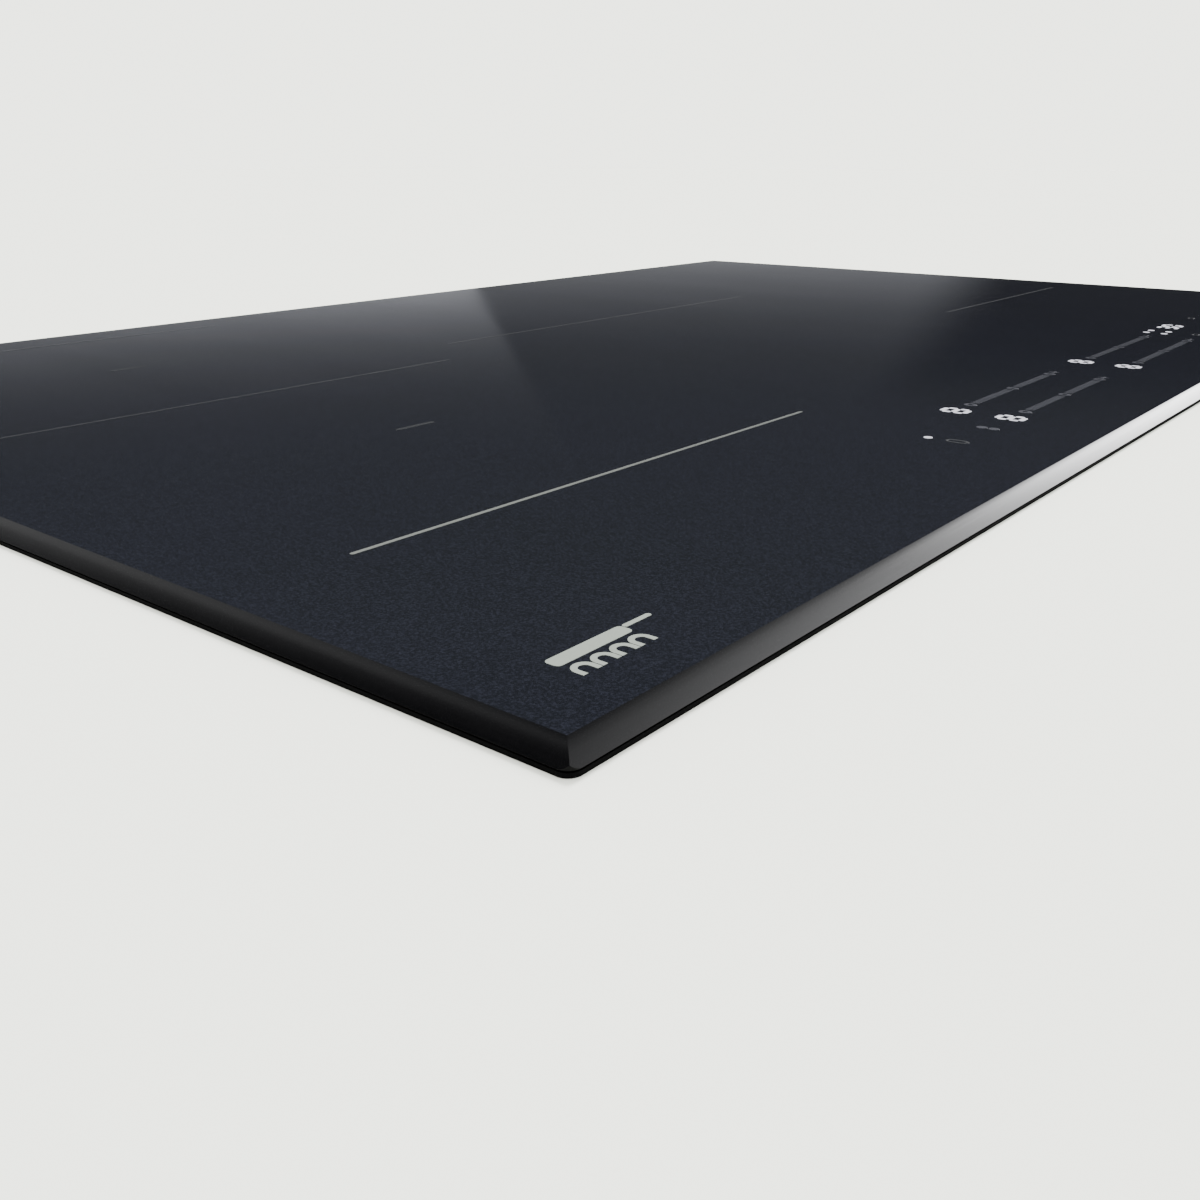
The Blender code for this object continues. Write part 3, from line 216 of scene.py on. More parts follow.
# ---- what the glass mirrors: directions are azimuth from +X towards +Y, and elevation, in degrees ----
LOW_HAZE_FADE = -32.0
LOW_HAZE_START = 3.0
LOW_HAZE_EDGE = ((44.9, 5.9), (42.3, 10.6))
LOW_HAZE_EDGE_SOFTNESS = 0.004
LOW_HAZE_BEYOND = 3.5
RIGHT_END = ((22.2, 5.4), (24.0, 9.1))
RIGHT_END_SOFTNESS = 0.035
RIGHT_END_DIM = 0.08
HIGH_HAZE_RISE = (8, 12)
HIGH_HAZE_DIM = 0.2
HIGH_HAZE_FALL = (22, 27)
HIGH_HAZE_STRENGTH = (0.029, 0.002)
SIDE_CARD = (109, 22.5)
SIDE_CARD_RADII = (1, 41)
SIDE_CARD_STRENGTH = 0.52
SIDE_CARD_EDGE = ((123.4, 47.8), (109.7, 28.4))
SIDE_CARD_EDGE_SOFTNESS = 0.147
SIDE_CARD_DIM = 0.014
WINDOW_GLOW = (-7, 14)
WINDOW_GLOW_TIGHTNESS = 130.0
WINDOW_GLOW_STRENGTH = 15.0
WIDE_GLOW = (-23, 12)
WIDE_GLOW_TIGHTNESS = 12.0
WIDE_GLOW_STRENGTH = 2.4
WINDOW_EDGE = ((4.0, 60.0), (4.0, 0.0))
WINDOW_EDGE_SOFTNESS = 0.07


# ============================================================
# Node trees
# ============================================================
# spans of a noise value: where most of it lies, and all of it
MIDDLE = (0.3, 0.7)
WHOLE = (0.0, 1.0)


def toned(colour, share):
    """A colour made darker by a share under 1, or lighter by one over it."""
    return tuple(share * part for part in colour)


class Paint:
    """A material's node tree, with short calls for the nodes that the recipes below need."""

    def __init__(self, name, colour, roughness, metallic=0.0):
        self.material = bpy.data.materials.new(name)
        self.material.use_nodes = True
        self.material.diffuse_color = (*colour, 1.0)
        self.tree = self.material.node_tree
        self.shader = self.tree.nodes["Principled BSDF"]
        self.set("Base Color", (*colour, 1.0))
        self.set("Roughness", roughness)
        self.set("Metallic", metallic)
        self.place = self.tree.nodes.new("ShaderNodeTexCoord").outputs["Object"]

    def set(self, socket, value):
        """Gives a socket of the shader one value all over."""
        self.shader.inputs[socket].default_value = value

    def feed(self, socket, output):
        """Lets a node's output drive a socket of the shader."""
        self.tree.links.new(output, self.shader.inputs[socket])

    def node(self, kind, inputs=(), **settings):
        """A new node with its settings, and each input either linked or given a value."""
        made = self.tree.nodes.new(kind)
        for name, value in settings.items():
            setattr(made, name, value)
        for key, value in dict(inputs).items():
            if isinstance(value, bpy.types.NodeSocket):
                self.tree.links.new(value, made.inputs[key])
            else:
                made.inputs[key].default_value = value
        return made

    def stretched(self, scale):
        """The surface's place with each axis scaled, for grain that runs one way."""
        inputs = {"Vector": self.place, "Scale": scale}
        return self.node("ShaderNodeMapping", inputs).outputs["Vector"]

    def noise(self, scale, detail=3.0, roughness=0.5, place=None, distortion=0.0):
        """Soft random blotches between 0 and 1."""
        inputs = {
            "Vector": place or self.place,
            "Scale": scale,
            "Detail": detail,
            "Roughness": roughness,
            "Distortion": distortion,
        }
        return self.node("ShaderNodeTexNoise", inputs).outputs["Fac"]

    def cells(self, scale, output="Distance", place=None):
        """Random cells: the distance to the nearest middle, or one random colour for each cell."""
        inputs = {"Vector": place or self.place, "Scale": scale}
        return self.node("ShaderNodeTexVoronoi", inputs).outputs[output]

    def spread(self, value, low, high, new_low=0.0, new_high=1.0):
        """The value taken smoothly from one range to another, and held at the ends."""
        inputs = {0: value, 1: low, 2: high, 3: new_low, 4: new_high}
        return self.node("ShaderNodeMapRange", inputs, interpolation_type="SMOOTHSTEP").outputs[0]

    def maths(self, operation, first, second=0.0):
        return self.node("ShaderNodeMath", {0: first, 1: second}, operation=operation).outputs[0]

    def weighted(self, first, first_weight, second, second_weight):
        """Two values, each times its weight, added up."""
        one = self.maths("MULTIPLY", first, first_weight)
        other = self.maths("MULTIPLY", second, second_weight)
        return self.maths("ADD", one, other)

    def axes(self, place=None):
        """The x, y and z of a place, or of the surface's own place."""
        return self.node("ShaderNodeSeparateXYZ", {0: place or self.place}).outputs

    def mix(self, share, first, second):
        """A colour between two, by share. Each colour is three numbers or a socket."""
        made = self.node("ShaderNodeMix", {0: share}, data_type="RGBA")
        for socket, value in ((made.inputs[6], first), (made.inputs[7], second)):
            if isinstance(value, bpy.types.NodeSocket):
                self.tree.links.new(value, socket)
            else:
                socket.default_value = (*value, 1.0)
        return made.outputs[2]

    def colours(self, share, first, second):
        """The base colour goes from the first to the second, by share."""
        self.feed("Base Color", self.mix(share, first, second))

    def roughness(self, value, low, high, span=MIDDLE):
        """The roughness goes from low to high as the value goes through a span."""
        self.feed("Roughness", self.spread(value, *span, low, high))

    def bumps(self, height, depth, strength=1.0):
        """Bumps as deep as depth metres where height goes from 0 to 1."""
        inputs = {"Height": height, "Distance": depth, "Strength": strength}
        self.feed("Normal", self.node("ShaderNodeBump", inputs).outputs["Normal"])


# ============================================================
# Materials
# ============================================================
def black_glass():
    """Glass-ceramic, near black with a blue cast and a fine fleck in it."""
    paint = Paint("black_glass", (0.0080, 0.0090, 0.0125), 0.065)
    cloud = paint.noise(9.0, 4.0, 0.55)
    base = paint.mix(cloud, (0.0050, 0.0058, 0.0068), (0.0063, 0.0066, 0.0096))
    fine = paint.noise(1700.0, 2.0, 0.6)
    speckle = paint.spread(fine, 0.40, 0.70, 0.0, 0.17)
    fleck = paint.spread(paint.cells(2200.0), 0.0, 0.30, 1.0, 0.0)
    lift = paint.maths("ADD", speckle, paint.maths("MULTIPLY", fleck, 0.16))
    paint.colours(lift, base, (0.034, 0.037, 0.056))
    wipe = paint.noise(16.0, 5.0, 0.6, paint.stretched((1.0, 0.35, 1.0)), 0.6)
    paint.roughness(wipe, 0.055, 0.080, (0.30, 0.75))
    paint.set("IOR", 1.5)
    return paint.material


def ground_edge():
    """The glass's ground and polished slope: black, a little duller, with faint grinding lines."""
    paint = Paint("ground_glass_edge", (0.0016, 0.0016, 0.0020), 0.14)
    lines = paint.noise(900.0, 2.0, 0.5, paint.stretched((0.02, 0.02, 6.0)))
    cloud = paint.noise(60.0, 3.0)
    paint.colours(cloud, (0.0012, 0.0012, 0.0015), (0.0022, 0.0022, 0.0026))
    paint.roughness(lines, 0.12, 0.16)
    paint.set("IOR", 1.52)
    return paint.material


def raw_edge():
    """The glass's upright foot and rounded corners, left rough from cutting. Near black and darker than the
    glass: painted shade of the shadow under the edge.
    """
    paint = Paint("raw_glass_edge", (0.0014, 0.0014, 0.0016), 0.7)
    grain = paint.noise(2400.0, 3.0)
    # painted shade: the foot's tones are darker than the glass's own, for the shadow under the edge
    paint.colours(grain, (0.0009, 0.0009, 0.0010), (0.0020, 0.0020, 0.0022))
    paint.roughness(grain, 0.6, 0.8)
    paint.set("Specular IOR Level", 0.08)
    return paint.material


def black_foam_in_painted_shade():
    """Foam strip: dead matt, with cut-open pores. Darker than black foam: painted shade for the deep shadow
    under the glass.
    """
    paint = Paint("black_foam_in_painted_shade", (0.0012, 0.0012, 0.0013), 0.9)
    pores = paint.cells(2600.0)
    cloud = paint.noise(120.0, 3.0)
    # painted shade: the seal's near-black tones stand in for the shadow it sits in under the glass's edge
    paint.colours(cloud, (0.0007, 0.0007, 0.0008), (0.0018, 0.0018, 0.0020))
    paint.bumps(paint.spread(pores, 0.0, 0.5), 0.00008)
    paint.set("Specular IOR Level", 0.04)
    return paint.material


def black_rubber():
    """The cable gland's rubber: matt, slightly cloudy with bloom."""
    paint = Paint("black_rubber", (0.013, 0.013, 0.014), 0.75)
    cloud = paint.noise(120.0, 3.0)
    grain = paint.noise(1800.0, 2.0)
    paint.colours(cloud, (0.010, 0.010, 0.011), (0.020, 0.020, 0.021))
    paint.roughness(cloud, 0.66, 0.84)
    paint.bumps(grain, 0.00004, 0.8)
    return paint.material


def zinc_steel():
    """Galvanised sheet: flat spangles of slightly different grey, and faint rolling lines."""
    paint = Paint("zinc_steel", (0.22, 0.226, 0.232), 0.40, 1.0)
    wobble = paint.spread(paint.noise(160.0, 2.0), *WHOLE, -0.0016, 0.0016)
    place = paint.node("ShaderNodeVectorMath", {0: paint.place, 1: wobble}, operation="ADD").outputs[0]
    spangle = paint.cells(230.0, "Color", place)
    shade = paint.axes(spangle)[0]
    rolled = paint.noise(300.0, 2.0, 0.5, paint.stretched((0.08, 1.0, 1.0)))
    tone = paint.weighted(shade, 0.75, rolled, 0.25)
    paint.colours(tone, (0.150, 0.156, 0.162), (0.275, 0.283, 0.290))
    paint.roughness(tone, 0.44, 0.29, WHOLE)
    paint.bumps(paint.maths("ADD", shade, rolled), 0.000012, 0.7)
    return paint.material


def aluminium():
    """Extruded aluminium: die lines along Y."""
    paint = Paint("aluminium", (0.66, 0.67, 0.68), 0.32, 1.0)
    lines = paint.noise(420.0, 3.0, 0.6, paint.stretched((1.0, 0.03, 1.0)))
    cloud = paint.noise(35.0, 3.0)
    paint.colours(lines, (0.56, 0.57, 0.58), (0.74, 0.745, 0.75))
    paint.roughness(cloud, 0.27, 0.40)
    paint.bumps(lines, 0.000015, 0.7)
    return paint.material


def moulded(name, dark, light, roughness):
    """Injection-moulded plastic with a fine spark-eroded grain."""
    paint = Paint(name, light, roughness)
    grain = paint.noise(2100.0, 3.0, 0.6)
    cloud = paint.noise(45.0, 3.0)
    paint.colours(cloud, dark, light)
    paint.roughness(grain, roughness - 0.07, roughness + 0.07)
    paint.bumps(grain, 0.00005, 0.8)
    return paint.material


def black_plastic():
    return moulded("black_plastic", (0.012, 0.012, 0.013), (0.022, 0.022, 0.024), 0.46)


def white_plastic():
    return moulded("white_plastic", (0.62, 0.61, 0.57), (0.72, 0.71, 0.67), 0.42)


def copper_litz(name, centre):
    """Enamelled copper strands twisted round each other, wound about a centre, with painted shade darkening
    the grooves between strands.
    """
    paint = Paint(name, (0.55, 0.24, 0.11), 0.38, 0.9)
    from_centre = paint.node(
        "ShaderNodeVectorMath", {0: paint.place, 1: tuple(centre)}, operation="SUBTRACT"
    ).outputs[0]
    axes = paint.axes(from_centre)
    length = paint.node("ShaderNodeVectorMath", {0: from_centre}, operation="LENGTH")
    radius = length.outputs["Value"]
    turn = paint.maths("ARCTAN2", axes[1], axes[0])
    along = paint.maths("MULTIPLY", turn, 190.0)
    across = paint.maths("MULTIPLY", radius, 5200.0)
    strand = paint.maths("SINE", paint.maths("ADD", along, across))
    fine = paint.noise(1600.0, 2.0)
    height = paint.weighted(strand, 0.35, fine, 0.3)
    # painted shade: the colour follows the strands' height, darker down in the grooves between them
    tone = paint.spread(height, -0.3, 0.6)
    paint.colours(tone, (0.22, 0.075, 0.030), (0.68, 0.31, 0.15))
    paint.roughness(fine, 0.30, 0.46)
    paint.bumps(height, 0.00025)
    return paint.material


def grey_ferrite():
    """Sintered ferrite: matt, with small pits."""
    paint = Paint("grey_ferrite", (0.045, 0.046, 0.050), 0.62)
    pits = paint.spread(paint.cells(700.0), 0.0, 0.25)
    cloud = paint.noise(90.0, 4.0)
    paint.colours(cloud, (0.032, 0.033, 0.037), (0.070, 0.071, 0.076))
    paint.roughness(cloud, 0.52, 0.72)
    paint.bumps(pits, 0.00006)
    return paint.material


def pale_mica():
    """Pressed mica sheet: overlapping silvery flakes in a buff binder."""
    paint = Paint("pale_mica", (0.52, 0.47, 0.38), 0.40)
    flake = paint.axes(paint.cells(260.0, "Color"))[0]
    small = paint.axes(paint.cells(900.0, "Color"))[1]
    tone = paint.weighted(flake, 0.6, small, 0.4)
    paint.colours(tone, (0.38, 0.33, 0.25), (0.66, 0.62, 0.53))
    paint.roughness(tone, 0.58, 0.24, WHOLE)
    paint.bumps(tone, 0.00002, 0.6)
    return paint.material


def green_board():
    """Circuit board: solder mask over copper tracks and a glass weave."""
    paint = Paint("green_board", (0.020, 0.14, 0.055), 0.34)
    tracks = paint.node(
        "ShaderNodeTexBrick",
        {
            "Vector": paint.place,
            "Scale": 60.0,
            "Mortar Size": 0.045,
            "Mortar Smooth": 0.2,
            "Brick Width": 0.62,
            "Row Height": 0.21,
        },
    ).outputs["Fac"]
    weave = paint.maths(
        "MULTIPLY",
        paint.maths("SINE", paint.maths("MULTIPLY", paint.axes()[0], 9000.0)),
        paint.maths("SINE", paint.maths("MULTIPLY", paint.axes()[1], 9000.0)),
    )
    pads = paint.spread(paint.cells(190.0), 0.10, 0.14, 1.0, 0.0)
    mask = paint.mix(tracks, (0.014, 0.110, 0.045), (0.035, 0.200, 0.080))
    paint.colours(pads, mask, (0.55, 0.56, 0.55))
    paint.feed("Metallic", pads)
    height = paint.maths("ADD", tracks, paint.maths("MULTIPLY", weave, 0.12))
    paint.bumps(height, 0.00005)
    return paint.material


def dark_resin():
    """Potting resin and moulded epoxy: dark, dull, with a slight flow in it."""
    paint = Paint("dark_resin", (0.020, 0.021, 0.024), 0.50)
    flow = paint.noise(70.0, 4.0, 0.5, distortion=1.5)
    grain = paint.noise(1500.0, 2.0)
    paint.colours(flow, (0.014, 0.015, 0.018), (0.034, 0.035, 0.039))
    paint.roughness(flow, 0.42, 0.60)
    paint.bumps(grain, 0.00003, 0.8)
    return paint.material


def display_face():
    """A display's smoked window: nearly black, fairly glossy, with a fine filter mesh."""
    paint = Paint("display_face", (0.030, 0.030, 0.034), 0.25)
    mesh_x = paint.maths("SINE", paint.maths("MULTIPLY", paint.axes()[0], 12000.0))
    mesh_y = paint.maths("SINE", paint.maths("MULTIPLY", paint.axes()[1], 12000.0))
    mesh = paint.spread(paint.maths("MULTIPLY", mesh_x, mesh_y), -1.0, 1.0)
    paint.colours(mesh, (0.018, 0.018, 0.021), (0.042, 0.042, 0.047))
    paint.bumps(mesh, 0.00002, 0.5)
    return paint.material


def enamel(name, dark, light):
    """Ceramic ink fired into the glass: as glossy as the glass, with a screen-print grain."""
    paint = Paint(name, light, 0.12)
    grain = paint.noise(2600.0, 2.0)
    cloud = paint.noise(150.0, 3.0)
    tone = paint.weighted(grain, 0.6, cloud, 0.4)
    paint.colours(tone, dark, light)
    paint.roughness(grain, 0.10, 0.15)
    return paint.material


def lit_mark(name, colour, glow):
    """A mark lit from below: the light is a little uneven along each stroke."""
    paint = Paint(name, colour, 0.4)
    uneven = paint.noise(420.0, 2.0)
    dim = toned(colour, LIT_DIM)
    tone = paint.mix(paint.spread(uneven, 0.25, 0.75), dim, colour)
    paint.feed("Emission Color", tone)
    paint.set("Emission Strength", glow)
    paint.set("Base Color", (0.05, 0.05, 0.055, 1.0))
    return paint.material


def screw_steel():
    """Bright zinc-plated screw heads, with turning marks."""
    paint = Paint("screw_steel", (0.42, 0.42, 0.41), 0.26, 1.0)
    marks = paint.noise(900.0, 3.0)
    paint.colours(marks, (0.32, 0.32, 0.31), (0.52, 0.52, 0.51))
    paint.roughness(marks, 0.20, 0.36)
    paint.bumps(marks, 0.00001, 0.6)
    return paint.material


def pale_floor():
    """The stage: a plain pale matt floor with hardly any tone in it."""
    paint = Paint("pale_floor", FLOOR_TONE, 0.75)
    cloud = paint.noise(3.0, 3.0)
    light = toned(FLOOR_TONE, 1 + FLOOR_VARIATION)
    dark = toned(FLOOR_TONE, 1 - FLOOR_VARIATION)
    paint.colours(cloud, dark, light)
    paint.set("Specular IOR Level", 0.0)
    return paint.material


# ============================================================
# Shape helpers
# ============================================================
def new_piece(name, mesh, material):
    """A new object in the scene with one material."""
    piece = bpy.data.objects.new(name, mesh)
    bpy.context.scene.collection.objects.link(piece)
    mesh.materials.append(material)
    return piece


def mesh_from(body, name, smooth_below=None):
    """The bmesh as a mesh with its faces pointing out, shaded smooth below an angle in degrees."""
    bmesh.ops.recalc_face_normals(body, faces=body.faces)
    mesh = bpy.data.meshes.new(name)
    body.to_mesh(mesh)
    body.free()
    if smooth_below:
        mesh.shade_smooth()
        mesh.set_sharp_from_angle(angle=math.radians(smooth_below))
    return mesh


def rounded_outline(low, high, radius, steps):
    """A rectangle's outline with round corners, anticlockwise, as (x, y) points."""
    centres = (
        (high[0] - radius, high[1] - radius, 0),
        (low[0] + radius, high[1] - radius, 90),
        (low[0] + radius, low[1] + radius, 180),
        (high[0] - radius, low[1] + radius, 270),
    )
    points = []
    for x, y, start in centres:
        for step in range(steps + 1):
            angle = math.radians(start + 90 * step / steps)
            points.append((x + radius * math.cos(angle), y + radius * math.sin(angle)))
    return points


def loft(body, rings, close=True):
    """Skins rings of equal length, and closes the first and the last with a face."""
    loops = [[body.verts.new(point) for point in ring] for ring in rings]
    for below, above in zip(loops, loops[1:]):
        for first in range(len(below)):
            second = (first + 1) % len(below)
            body.faces.new((below[first], below[second], above[second], above[first]))
    if close:
        body.faces.new(list(reversed(loops[0])))
        body.faces.new(loops[-1])
    return loops


def at_height(outline, z):
    """An outline's (x, y) points as a ring at one height."""
    return [(x, y, z) for x, y in outline]


def flat_print(body, outline):
    """A thin layer of ink on the glass, with the given outline in world x and y."""
    loft(body, [at_height(outline, PRINT_LOW), at_height(outline, PRINT_HIGH)])


def flat_ring(body, outer, inner):
    """A thin closed band between two outlines with the same number of points."""
    rings = [
        at_height(inner, PRINT_LOW),
        at_height(outer, PRINT_LOW),
        at_height(outer, PRINT_HIGH),
        at_height(inner, PRINT_HIGH),
    ]
    loops = loft(body, rings, close=False)
    for first in range(len(outer)):
        second = (first + 1) % len(outer)
        body.faces.new((loops[3][first], loops[3][second], loops[0][second], loops[0][first]))


def disc(centre, radius):
    """The outline of a round mark."""
    angles = [2 * math.pi * step / DISC_STEPS for step in range(DISC_STEPS)]
    return [(centre[0] + radius * math.cos(a), centre[1] + radius * math.sin(a)) for a in angles]


def bar(centre, size, roundness=BAR_ROUNDNESS):
    """The outline of a bar with round corners, whose radius is a share of its smaller side."""
    radius = roundness * min(size)
    low = (centre[0] - size[0] / 2, centre[1] - size[1] / 2)
    high = (centre[0] + size[0] / 2, centre[1] + size[1] / 2)
    return rounded_outline(low, high, radius, BAR_END_STEPS)


def on_glass(place):
    """World x and y of a place measured from the flat glass's front left corner."""
    return FLAT_X + place[0], FLAT_Y + place[1]


# ============================================================
# The glass
# ============================================================
def risen(share):
    """How far the edge has risen at a share of its width, before scaling: less and less steep."""
    past = max(share - BEVEL_ROUND_START, 0.0)
    return share - (BEVEL_EASE * share**2 + BEVEL_ROUNDING * past**2) / 2


def slope_height(inset):
    """Height of the sloping edge at a distance in from its foot."""
    return GLASS_TOP - BEVEL_DROP * (1 - risen(inset / BEVEL_WIDTH) / risen(1.0))


def inset_from_side(value, axis, inset):
    """The value moved to an inset from the nearer of the glass's two sides on that axis."""
    low, high = GLASS_LOW[axis], GLASS_HIGH[axis]
    return low + inset if value < (low + high) / 2 else high - inset


def slope_column(x, y):
    """Points from the edge's foot at an outline point up to the flat top, square to the nearer side."""
    across = min(x - GLASS_LOW.x, GLASS_HIGH.x - x)
    along = min(y - GLASS_LOW.y, GLASS_HIGH.y - y)
    start = min(across, along)
    points = []
    for step in range(BEVEL_STEPS + 1):
        inset = start + (BEVEL_WIDTH - start) * step / BEVEL_STEPS
        here = Vector((x, y, slope_height(inset)))
        if across < along + SAME:
            here.x = inset_from_side(x, 0, inset)
        if along < across + SAME:
            here.y = inset_from_side(y, 1, inset)
        here.x = min(max(here.x, GLASS_LOW.x + inset), GLASS_HIGH.x - inset)
        here.y = min(max(here.y, GLASS_LOW.y + inset), GLASS_HIGH.y - inset)
        points.append(here)
    return points


def edge_slot(face):
    """Which material a face of the plate has: 0 on the flats, 1 on the slope, 2 on the upright foot."""
    flatness = abs(face.normal.z)
    if flatness > FLAT_FACE:
        return 0
    return 2 if flatness < UPRIGHT_FACE else 1


def glass_plate(flat, slope, foot):
    """The glass-ceramic plate: sharp mitres between its slopes, and round corners cut through them."""
    body = bmesh.new()
    outline = rounded_outline(GLASS_LOW, GLASS_HIGH, CORNER_RADIUS, CORNER_STEPS)
    under = rounded_outline(
        (GLASS_LOW.x + ARRIS, GLASS_LOW.y + ARRIS),
        (GLASS_HIGH.x - ARRIS, GLASS_HIGH.y - ARRIS),
        CORNER_RADIUS - ARRIS,
        CORNER_STEPS,
    )
    columns = [slope_column(x, y) for x, y in outline]
    rings = [at_height(under, GLASS_LOW.z), at_height(outline, GLASS_LOW.z + ARRIS / 2)]
    rings += [[column[step] for column in columns] for step in range(BEVEL_STEPS + 1)]
    loft(body, rings)
    bmesh.ops.remove_doubles(body, verts=body.verts, dist=WELD)
    bmesh.ops.dissolve_degenerate(body, edges=body.edges, dist=SLIVER)
    mesh = mesh_from(body, "glass_plate", GLASS_SMOOTH_BELOW)
    piece = new_piece("glass_plate", mesh, flat)
    mesh.materials.append(slope)
    mesh.materials.append(foot)
    for face in mesh.polygons:
        face.material_index = edge_slot(face)
    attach(piece, HOB)
    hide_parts("glass_top")


# ============================================================
# Printed and lit marks
# ============================================================
def print_piece(name, body, material):
    """A finished mark, which rides on the hob."""
    piece = new_piece(name, mesh_from(body, name), material)
    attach(piece, HOB)


def line_across(body, span, y, width=ZONE_LINE):
    """A printed line that runs along X at distance y from the front of the flat glass."""
    centre = on_glass(((span[0] + span[1]) / 2, y))
    flat_print(body, bar(centre, (span[1] - span[0], width)))


def zone_marks(front_ink, ink, far_ink):
    """The cooking zones' lines and the left pair's small ticks. Only the nearest line is bright, and
    farther marks are darker: one ink with painted light and shade by distance.
    """
    for number, y in enumerate(LEFT_ZONE_Y, 1):
        body = bmesh.new()
        line_across(body, LEFT_ZONE_X, y)
        print_piece(f"left_zone_line_{number}", body, front_ink if number == 1 else ink)
    for number, y in enumerate(LEFT_TICK_Y, 1):
        body = bmesh.new()
        line_across(body, LEFT_TICK_X, y, TICK_LINE)
        print_piece(f"left_zone_tick_{number}", body, ink if number == 1 else far_ink)
    body = bmesh.new()
    line_across(body, CENTRE_ZONE_X, CENTRE_ZONE_Y)
    print_piece("centre_zone_line", body, ink)
    body = bmesh.new()
    line_across(body, RIGHT_ZONE_X, RIGHT_ZONE_Y)
    print_piece("right_zone_line", body, far_ink)


SEGMENTS = {
    "top": ((0, 1), "flat"),
    "middle": ((0, 0), "flat"),
    "bottom": ((0, -1), "flat"),
    "upper_left": ((-1, 0.5), "upright"),
    "upper_right": ((1, 0.5), "upright"),
    "lower_left": ((-1, -0.5), "upright"),
    "lower_right": ((1, -0.5), "upright"),
}
DIGITS = {
    "8": tuple(SEGMENTS),
    "3": ("top", "middle", "bottom", "upper_right", "lower_right"),
    "0": ("top", "bottom", "upper_left", "upper_right", "lower_left", "lower_right"),
}


def seven_segments(body, digit, place):
    """One lit seven-segment digit, centred on a place on the glass."""
    centre = on_glass(place)
    half_width = (DIGIT_SIZE[0] - DIGIT_STROKE) / 2
    half_height = (DIGIT_SIZE[1] - DIGIT_STROKE) / 2
    flat = (2 * half_width - DIGIT_JOIN * DIGIT_STROKE, DIGIT_STROKE)
    upright = (DIGIT_STROKE, half_height - DIGIT_JOIN * DIGIT_STROKE)
    for name in DIGITS[digit]:
        (across, up), lie = SEGMENTS[name]
        middle = (centre[0] + across * half_width, centre[1] + up * half_height)
        flat_print(body, bar(middle, flat if lie == "flat" else upright))


def slider(name, start, y, ink):
    """A touch slider: fine ticks with a ring at the start, the middle and the end, then a plus sign."""
    body = bmesh.new()
    count = round(SLIDER_LENGTH / SLIDER_PITCH)
    knobs = (0, count // 2, count)
    clear = math.ceil(SLIDER_KNOB_RADIUS / SLIDER_PITCH)
    for number in range(count + 1):
        place = on_glass((start + number * SLIDER_PITCH, y))
        if number in knobs:
            hole = disc(place, SLIDER_KNOB_HOLE * SLIDER_KNOB_RADIUS)
            flat_ring(body, disc(place, SLIDER_KNOB_RADIUS), hole)
        elif all(abs(number - knob) > clear for knob in knobs):
            flat_print(body, bar(place, SLIDER_TICK))
    plus_sign(body, on_glass((start + SLIDER_LENGTH + PLUS_OFFSET, y)), SLIDER_TICK[0])
    print_piece(name, body, ink)


def plus_sign(body, centre, stroke):
    """A plus sign as one long bar and two short ones that stop just clear of it."""
    flat_print(body, bar(centre, (PLUS_SIZE, stroke)))
    arm = (PLUS_SIZE - stroke) / 2 - 2 * PLUS_GAP
    for side in (-1, 1):
        middle = (centre[0], centre[1] + side * (arm / 2 + stroke / 2 + PLUS_GAP))
        flat_print(body, bar(middle, (stroke, arm)))


def controls(lit, dim, faint):
    """The lit levels with their sliders, the timer, the power dot, and the small keys."""
    for side, digit_x in zip(("left", "right"), DIGIT_X):
        for row, y in (("rear", REAR_ROW_Y), ("front", FRONT_ROW_Y)):
            body = bmesh.new()
            seven_segments(body, "8", (digit_x, y))
            print_piece(f"level_{side}_{row}", body, lit)
            slider(f"slider_{side}_{row}", digit_x + SLIDER_OFFSET, y, dim)
    body = bmesh.new()
    for number, digit in enumerate("30"):
        seven_segments(body, digit, (TIMER_X + number * TIMER_DIGIT_STEP, REAR_ROW_Y))
    print_piece("timer_minutes", body, lit)
    body = bmesh.new()
    for x in TIMER_DOT_X:
        for y in TIMER_DOT_Y:
            flat_print(body, disc(on_glass((x, y)), TIMER_DOT_RADIUS))
    print_piece("timer_zone_dots", body, lit)
    body = bmesh.new()
    flat_print(body, disc(on_glass(POWER_DOT), POWER_DOT_RADIUS))
    print_piece("power_dot", body, lit)
    small_keys(dim, faint)


def pill_ring(body, place, size, stroke):
    """The outline of a pill-shaped key."""
    centre = on_glass(place)
    inner = (size[0] - 2 * stroke, size[1] - 2 * stroke)
    flat_ring(body, bar(centre, size, PILL_ROUNDNESS), bar(centre, inner, PILL_ROUNDNESS))


def small_keys(dim, faint):
    """The unlit keys: a pill outline, a pair of dots, and two small pill outlines further right."""
    body = bmesh.new()
    pill_ring(body, LOCK_KEY, LOCK_KEY_SIZE, LOCK_KEY_STROKE)
    print_piece("lock_key", body, faint)
    body = bmesh.new()
    for side in (-1, 1):
        place = (PAUSE_KEY[0], PAUSE_KEY[1] + side * PAUSE_KEY_STEP / 2)
        flat_print(body, disc(on_glass(place), PAUSE_KEY_RADIUS))
    print_piece("pause_key", body, dim)
    for name, place in FAR_KEYS.items():
        body = bmesh.new()
        pill_ring(body, place, FAR_KEY_SIZE, FAR_KEY_STROKE)
        print_piece(name, body, faint)


